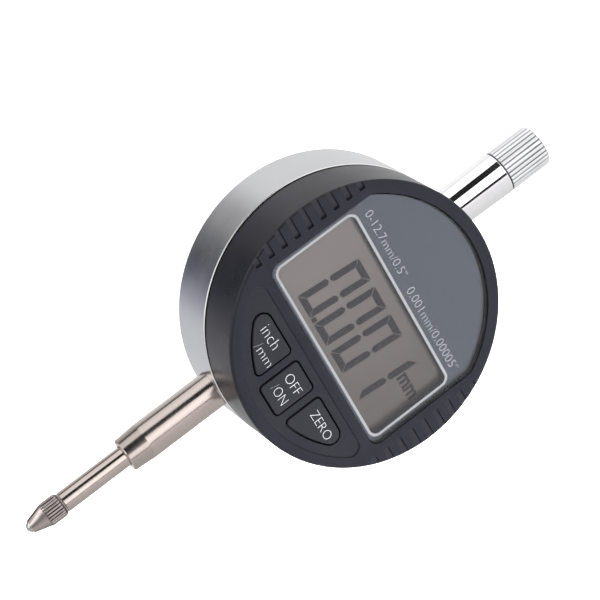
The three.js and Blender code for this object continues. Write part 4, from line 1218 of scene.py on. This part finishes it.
def make_digits(face):
    ink = (face + 0.004, face + 0.024)
    bars = segment_polygons()
    shapes = []
    for place, digit in enumerate("0001"):
        left = DIGIT_LEFT + place * DIGIT_PITCH
        for name in SEGMENTS_OF[digit]:
            points = [(left + x + y * SLANT, DIGIT_LOW_Y + y) for x, y in bars[name]]
            shapes.append(prism(points, *ink))
    dot_x = DIGIT_LEFT + DIGIT_WIDTH + 0.25
    dot = [(0, 0), (1.1, 0), (1.2, 1.1), (0.1, 1.1)]
    shapes.append(prism([(dot_x + x, DIGIT_LOW_Y + y) for x, y in dot], *ink))
    piece("display_digits", merged(shapes), ["segment_ink"], "display", slot="display_glass")
    unit = [("mm", (15.1, 21.0), (0.1, 2.5))]
    lettering("display_unit", unit, ink, "segment_ink", "display", "display_glass", -0.03)


def text_shape(text, x_range, y_range, z_range, thin):
    """One line of text as a closed solid that fills the given box, its strokes thinned by thin."""
    curve = bpy.data.curves.new("text", "FONT")
    curve.body = text
    curve.offset = -thin
    curve.extrude = 0.5
    curve.resolution_u = 4
    source = new_object("text", curve)
    graph = bpy.context.evaluated_depsgraph_get()
    graph.update()
    mesh = bpy.data.meshes.new_from_object(source.evaluated_get(graph))
    points = [v.co.copy() for v in mesh.vertices]
    low = [min(p[k] for p in points) for k in range(2)]
    high = [max(p[k] for p in points) for k in range(2)]
    width, height = high[0] - low[0], high[1] - low[1]
    across, up = x_range[1] - x_range[0], y_range[1] - y_range[0]
    vertices = [
        (
            x_range[0] + (p.x - low[0]) / width * across,
            y_range[0] + (p.y - low[1]) / height * up,
            z_range[0] + (p.z + 0.5) * (z_range[1] - z_range[0]),
        )
        for p in points
    ]
    faces = [tuple(face.vertices) for face in mesh.polygons]
    bpy.data.objects.remove(source)
    return vertices, faces


def lettering(name, lines, z_range, look, body, slot, thin):
    shapes = [text_shape(text, x_range, y_range, z_range, thin) for text, x_range, y_range in lines]
    piece(name, merged(shapes), [look], body, slot=slot)


def make_printing():
    ink = (PLATE_HIGH.z + INK_LIFT, PLATE_HIGH.z + INK)
    lines = {
        "print_range": ('0-12.7mm/0.5"', (-20.3, -3.7), (10.9, 12.8)),
        "print_resolution": ('0.001mm/0.00005"', (-0.7, 21.0), (10.6, 12.5)),
    }
    for name, line in lines.items():
        lettering(name, [line], ink, "window_ink", "display", "window_grey", 0.022)


# ---- buttons


def make_button(name, outline, body, node, lines):
    top = FACE_Z - 0.05
    cap = -BUTTON_GROOVE / 2
    levels = [
        (BUTTON_FLANGE, BUTTON_FLANGE_Z[0]),
        (BUTTON_FLANGE, BUTTON_FLANGE_Z[1]),
        (cap, BUTTON_FLANGE_Z[1]),
        *edge_up(cap, top, 0.28),
    ]
    piece(name, stacked(outline, levels), ["button_plastic"], body, [node], "button_plastic")
    ink = (top + 0.004, top + INK)
    lettering(f"print_{body}", lines, ink, "print_white", body, "button_plastic", 0.03)


def make_buttons():
    left = [("inch", (-14.1, -8.9), (-19.2, -16.9)), ("/mm", (-12, -6.5), (-22, -20))]
    middle = [("OFF", (-2.3, 2.5), (-20.1, -18.1)), ("/ON", (-2.3, 2.3), (-23.5, -21.5))]
    right = [("ZERO", (8.1, 15.1), (-19.5, -17.6))]
    make_button("cap_inch_mm", partial(side_button_outline, side=-1), "button_left", "button_inch_mm", left)
    make_button("cap_off_on", middle_button_outline, "button_middle", "button_off_on", middle)
    make_button("cap_zero", side_button_outline, "button_right", "button_zero", right)


# ---- battery drawer


def make_drawer():
    low, high = TRAY_LOW.z, TRAY_HIGH.z
    middle = (low + high) / 2
    face_radius = HOUSING_RADIUS

    def outline(grow):
        half = DRAWER_HALF_WIDTH + grow
        radius = face_radius + min(grow, 0)
        end = math.asin(half / radius)
        return [(8 - grow, half), (8 - grow, -half), *arc(0, 0, radius, -end, end, 48)]

    levels = [*edge_down(0, low, 0.12), *edge_up(0, high, 0.12)]
    pocket = at(rod(COIN_RADIUS + 0.15, low - 1, high + 1, 96), COIN_X, 0)
    nail = block((face_radius - 0.9, face_radius + 1), (-4, 4), (middle - 0.5, middle + 0.5))
    cuts = [in_drawer(pocket), in_drawer(nail)]
    tray = in_drawer(stacked(outline, levels))
    piece("drawer_tray", tray, ["tray_plastic"], "battery_drawer", ["battery_tray"], "dark_plastic", cut=cuts)


def make_cell():
    low, high = CELL_LOW.z, CELL_HIGH.z
    step = high - 0.5
    profile = [
        (0, low),
        (COIN_RADIUS - 0.4, low),
        (COIN_RADIUS, low + 0.4),
        (COIN_RADIUS, step),
        (COIN_RADIUS - 0.5, step + 0.1),
        (COIN_RADIUS - 0.9, step - 0.1),
        (COIN_RADIUS - 0.95, high - 0.1),
        (COIN_RADIUS - 1.4, high),
        (0, high),
    ]
    rounded = [profile[0], *filleted(profile[1:-1], 0.12, 3), profile[-1]]
    cell = at(turned(rounded, 96), COIN_X, 0)
    piece("coin_cell", in_drawer(cell), ["cell_steel"], "battery_drawer", ["battery"], "cell_steel")


# ---- inner CAD nodes keep their shape


def finish_nodes():
    nodes_of = {
        "seal_rubber": "back_gasket",
        "bush_bronze": "lower_bush upper_bush battery_contact",
        "spring_wire": "snap_ring",
        "fastener_steel": "stop_pin",
        "chassis_aluminium": "chassis_plate guide_rail carriage",
        "board_mask": "sensor_board scale_strip main_board",
        "flex_film": "flex_tail flex_coil",
        "spindle_steel": "guide_pin",
        "housing_plastic": "display_base",
        "holder_plastic": "lcd_holder",
        "chip_plastic": "controller_chip",
        "keypad_silicone": "keypad_membrane",
    }
    looks = {name: look for look, names in nodes_of.items() for name in names.split()}
    for name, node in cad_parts.items():
        if "screw" in name:
            looks.setdefault(name, "fastener_steel")
        if name.startswith("zebra"):
            looks.setdefault(name, "keypad_silicone")
        if name.startswith("dome"):
            looks.setdefault(name, "cell_steel")
        if name in looks:
            node.data.materials.clear()
            node.data.materials.append(LOOKS[looks[name]])


# ---- studio


WORLD_STRENGTH = 1.45
FLOOR_DROP = 0.0002
TILT_FROM = 0.2
TILT = math.radians(75)
GAP_LEVEL = 0.012
# The tent's brightness round the spindle, from (degrees, grey level or colour), over the middle of the
# object and towards its two ends, and its brightness round the case's axis, low behind the object
TENT = [
    (-180, 0.46), (-150, 0.40), (-133, 0.52), (-118, 0.95), (-83, 1.1), (-50, 1.1), (-40, 1.45),
    (-24, 1.5), (-8, 1.4), (6, 1.3), (9, (0.72, 0.70, 0.715)), (18, (0.66, 0.645, 0.655)),
    (32, (0.60, 0.59, 0.60)), (50, (0.585, 0.58, 0.585)), (85, 0.52), (130, 0.48), (180, 0.46),
]
TENT_AT_KNOB = [
    (-180, 0.5), (-120, 0.62), (-60, 0.70), (-20, 0.74), (40, 0.64), (90, 0.52), (180, 0.5),
]
TENT_AT_TIP = [
    (-180, 0.6), (-165, 1.0), (-152, 1.5), (-134, 1.5), (-125, 1.1), (-114, 0.55), (-102, 0.30),
    (-80, 0.28), (-55, 0.42), (-28, 0.54), (0, 0.54), (37, 0.43), (60, 0.37), (120, 0.3), (180, 0.6),
]
TENT_BELOW = [
    (-180, 0.36), (-163, 0.25), (-143, (0.090, 0.090, 0.098)), (-122, (0.055, 0.057, 0.074)),
    (-103, (0.20, 0.205, 0.25)), (-82, (0.54, 0.54, 0.57)), (-30, 0.57), (20, 0.55), (50, 0.66),
    (160, 0.70), (180, 0.36),
]


def make_camera():
    """The photograph's viewpoint: from the lower left of the face, rolled so that the spindle slants."""
    right = Vector((0.44721, 0.78210, 0.43397))
    up = Vector((-0.75530, 0.59010, -0.28514))
    back = right.cross(up)
    data = bpy.data.cameras.new("camera")
    data.lens = 148.9
    data.sensor_width = 36
    data.clip_start = 0.01
    data.clip_end = 20
    camera = new_object("camera", data)
    turn = Matrix((right, up, back)).transposed()
    camera.matrix_world = Matrix.Translation((-0.24592, -0.10612, 0.43882)) @ turn.to_4x4()
    bpy.context.scene.camera = camera


def angle_ramp(world, angle, stops):
    """Brightness against an angle in degrees, from -180 to 180, by a colour ramp. Each stop gives a
    grey level or a colour."""
    share = maths(world, "ADD", times(world, angle, 1 / (2 * math.pi)), 0.5)
    ramp = add(world, "ValToRGB")
    elements = ramp.color_ramp.elements
    while len(elements) > 1:
        elements.remove(elements[-1])
    for i, (degrees, colour) in enumerate(stops):
        position = degrees / 360 + 0.5
        element = elements[0] if i == 0 else elements.new(position)
        element.position = position
        element.color = (*colour, 1) if isinstance(colour, tuple) else (colour, colour, colour, 1)
    link(world, share, ramp.inputs["Fac"])
    return ramp.outputs["Color"]


def blended(world, share, first, second):
    mixed = add(world, "Mix", data_type="RGBA")
    link(world, share, mixed.inputs["Factor"])
    link(world, first, mixed.inputs["A"])
    link(world, second, mixed.inputs["B"])
    return mixed.outputs["Result"]


def scaled(world, colour, level):
    node = add(world, "VectorMath", operation="SCALE")
    link(world, colour, node.inputs[0])
    link(world, level, node.inputs["Scale"])
    return node.outputs[0]


def dark_line(world, angle, centre, half_width):
    """0 within half_width of the centre, all in degrees, and 1 elsewhere."""
    off = maths(world, "ABSOLUTE", maths(world, "SUBTRACT", angle, math.radians(centre)))
    return maths(world, "GREATER_THAN", off, maths(world, "RADIANS", half_width))


def make_world():
    """A soft white tent with dark gaps over the spindle and a dim corner low behind the case.
    What lies straight behind the object is plain white."""
    world = bpy.data.worlds.new("studio")
    world.use_nodes = True
    bpy.context.scene.world = world
    x, y, z = split(world, add(world, "TexCoord").outputs["Generated"])
    tilt = times(world, maths(world, "SUBTRACT", y, TILT_FROM), TILT)
    around_spindle = maths(world, "ADD", maths(world, "ARCTAN2", x, z), tilt)
    across = angle_ramp(world, around_spindle, TENT)
    towards_knob = angle_ramp(world, around_spindle, TENT_AT_KNOB)
    towards_tip = angle_ramp(world, around_spindle, TENT_AT_TIP)
    below = angle_ramp(world, maths(world, "ARCTAN2", y, x), TENT_BELOW)
    at_case = between(world, y, 27, 13.0, 0.0, 0.1)
    at_sleeve = between(world, y, 13.0, 15.5, 0.14, 0.2)
    wide = dark_line(world, around_spindle, -61.5, maths(world, "MAXIMUM", at_case, at_sleeve))
    thin = dark_line(world, around_spindle, 1.5, between(world, y, 3.5, 6.5, 0.2, 0.235))
    left = dark_line(world, around_spindle, -132, between(world, y, 7.0, -1.0, 0.17, 0.19))
    gaps = maths(world, "MAXIMUM", times(world, wide, times(world, thin, left)), GAP_LEVEL)
    away = between(world, y, 0.0, 0.85, 0.50, 0.70)
    ahead = between(world, z, 0.0, 1.0, -0.3, -0.05)
    dimmed = maths(world, "SUBTRACT", 1.0, times(world, away, ahead))
    level = times(world, dimmed, between(world, y, 0.68, 1.0, 0.0, 0.28))
    tent = scaled(world, across, times(world, level, gaps))
    above = blended(world, between(world, y, 0.0, 1.0, 0.26, 0.30), tent, towards_knob)
    above = blended(world, between(world, y, 1.0, 0.0, -0.2, -0.1), above, towards_tip)
    low = between(world, z, 1.0, 0.0, -0.82, -0.6)
    light = world.node_tree.nodes["Background"]
    settle(light, Strength=WORLD_STRENGTH)
    link(world, blended(world, low, above, below), light.inputs["Color"])
    seen = add(world, "Background")
    settle(seen, Color=(1, 1, 1, 1))
    seen_directly = add(world, "LightPath").outputs["Is Camera Ray"]
    show_mixed(world, seen_directly, light, seen, "World Output")


def make_floor():
    half = 1.5
    outline = [(-half, -half), (half, -half), (half, half), (-half, half)]
    mesh = bpy.data.meshes.new("floor")
    mesh.from_pydata([(x, y, -FLOOR_DROP) for x, y in outline], [], [(0, 1, 2, 3)])
    floor = new_object("floor", mesh)
    pale = finish("floor_paper", (0.93, 0.93, 0.93), 0.9)
    place = place_mm(pale)
    shade(pale, noise(pale, place, 0.02), (0.925, 0.925, 0.925), (0.94, 0.94, 0.94))
    settle(surface(pale), Emission_Color=(1, 1, 1, 1), Emission_Strength=0.6)
    mesh.materials.append(pale)
    floor.visible_glossy = False


def soft_box(name, place, size, watts):
    """A square of light, turned to the frame's origin, that no reflection shows."""
    data = bpy.data.lights.new(name, "AREA")
    data.shape = "RECTANGLE"
    data.size = size
    data.size_y = size
    data.energy = watts
    lamp = new_object(name, data)
    lamp.location = place
    lamp.rotation_euler = (-Vector(place)).to_track_quat("-Z", "Y").to_euler()
    lamp.visible_glossy = False
    lamp.visible_camera = False


def make_studio():
    make_camera()
    make_world()
    make_floor()
    soft_box("key", (0.50, 0.12, 0.46), 0.3, 15)
    soft_box("fill", (-0.5, -0.2, 0.7), 0.8, 3.6)
    settings = bpy.context.scene.view_settings
    settings.view_transform = "Standard"
    settings.look = "None"


make_looks()
make_studio()
finish_nodes()
make_case()
make_back()
make_stem()
make_sleeve()
make_wiper()
make_spring()
make_spindle()
make_contact_point()
make_knob()
make_housing()
make_window()
make_display()
make_printing()
make_buttons()
make_drawer()
make_cell()
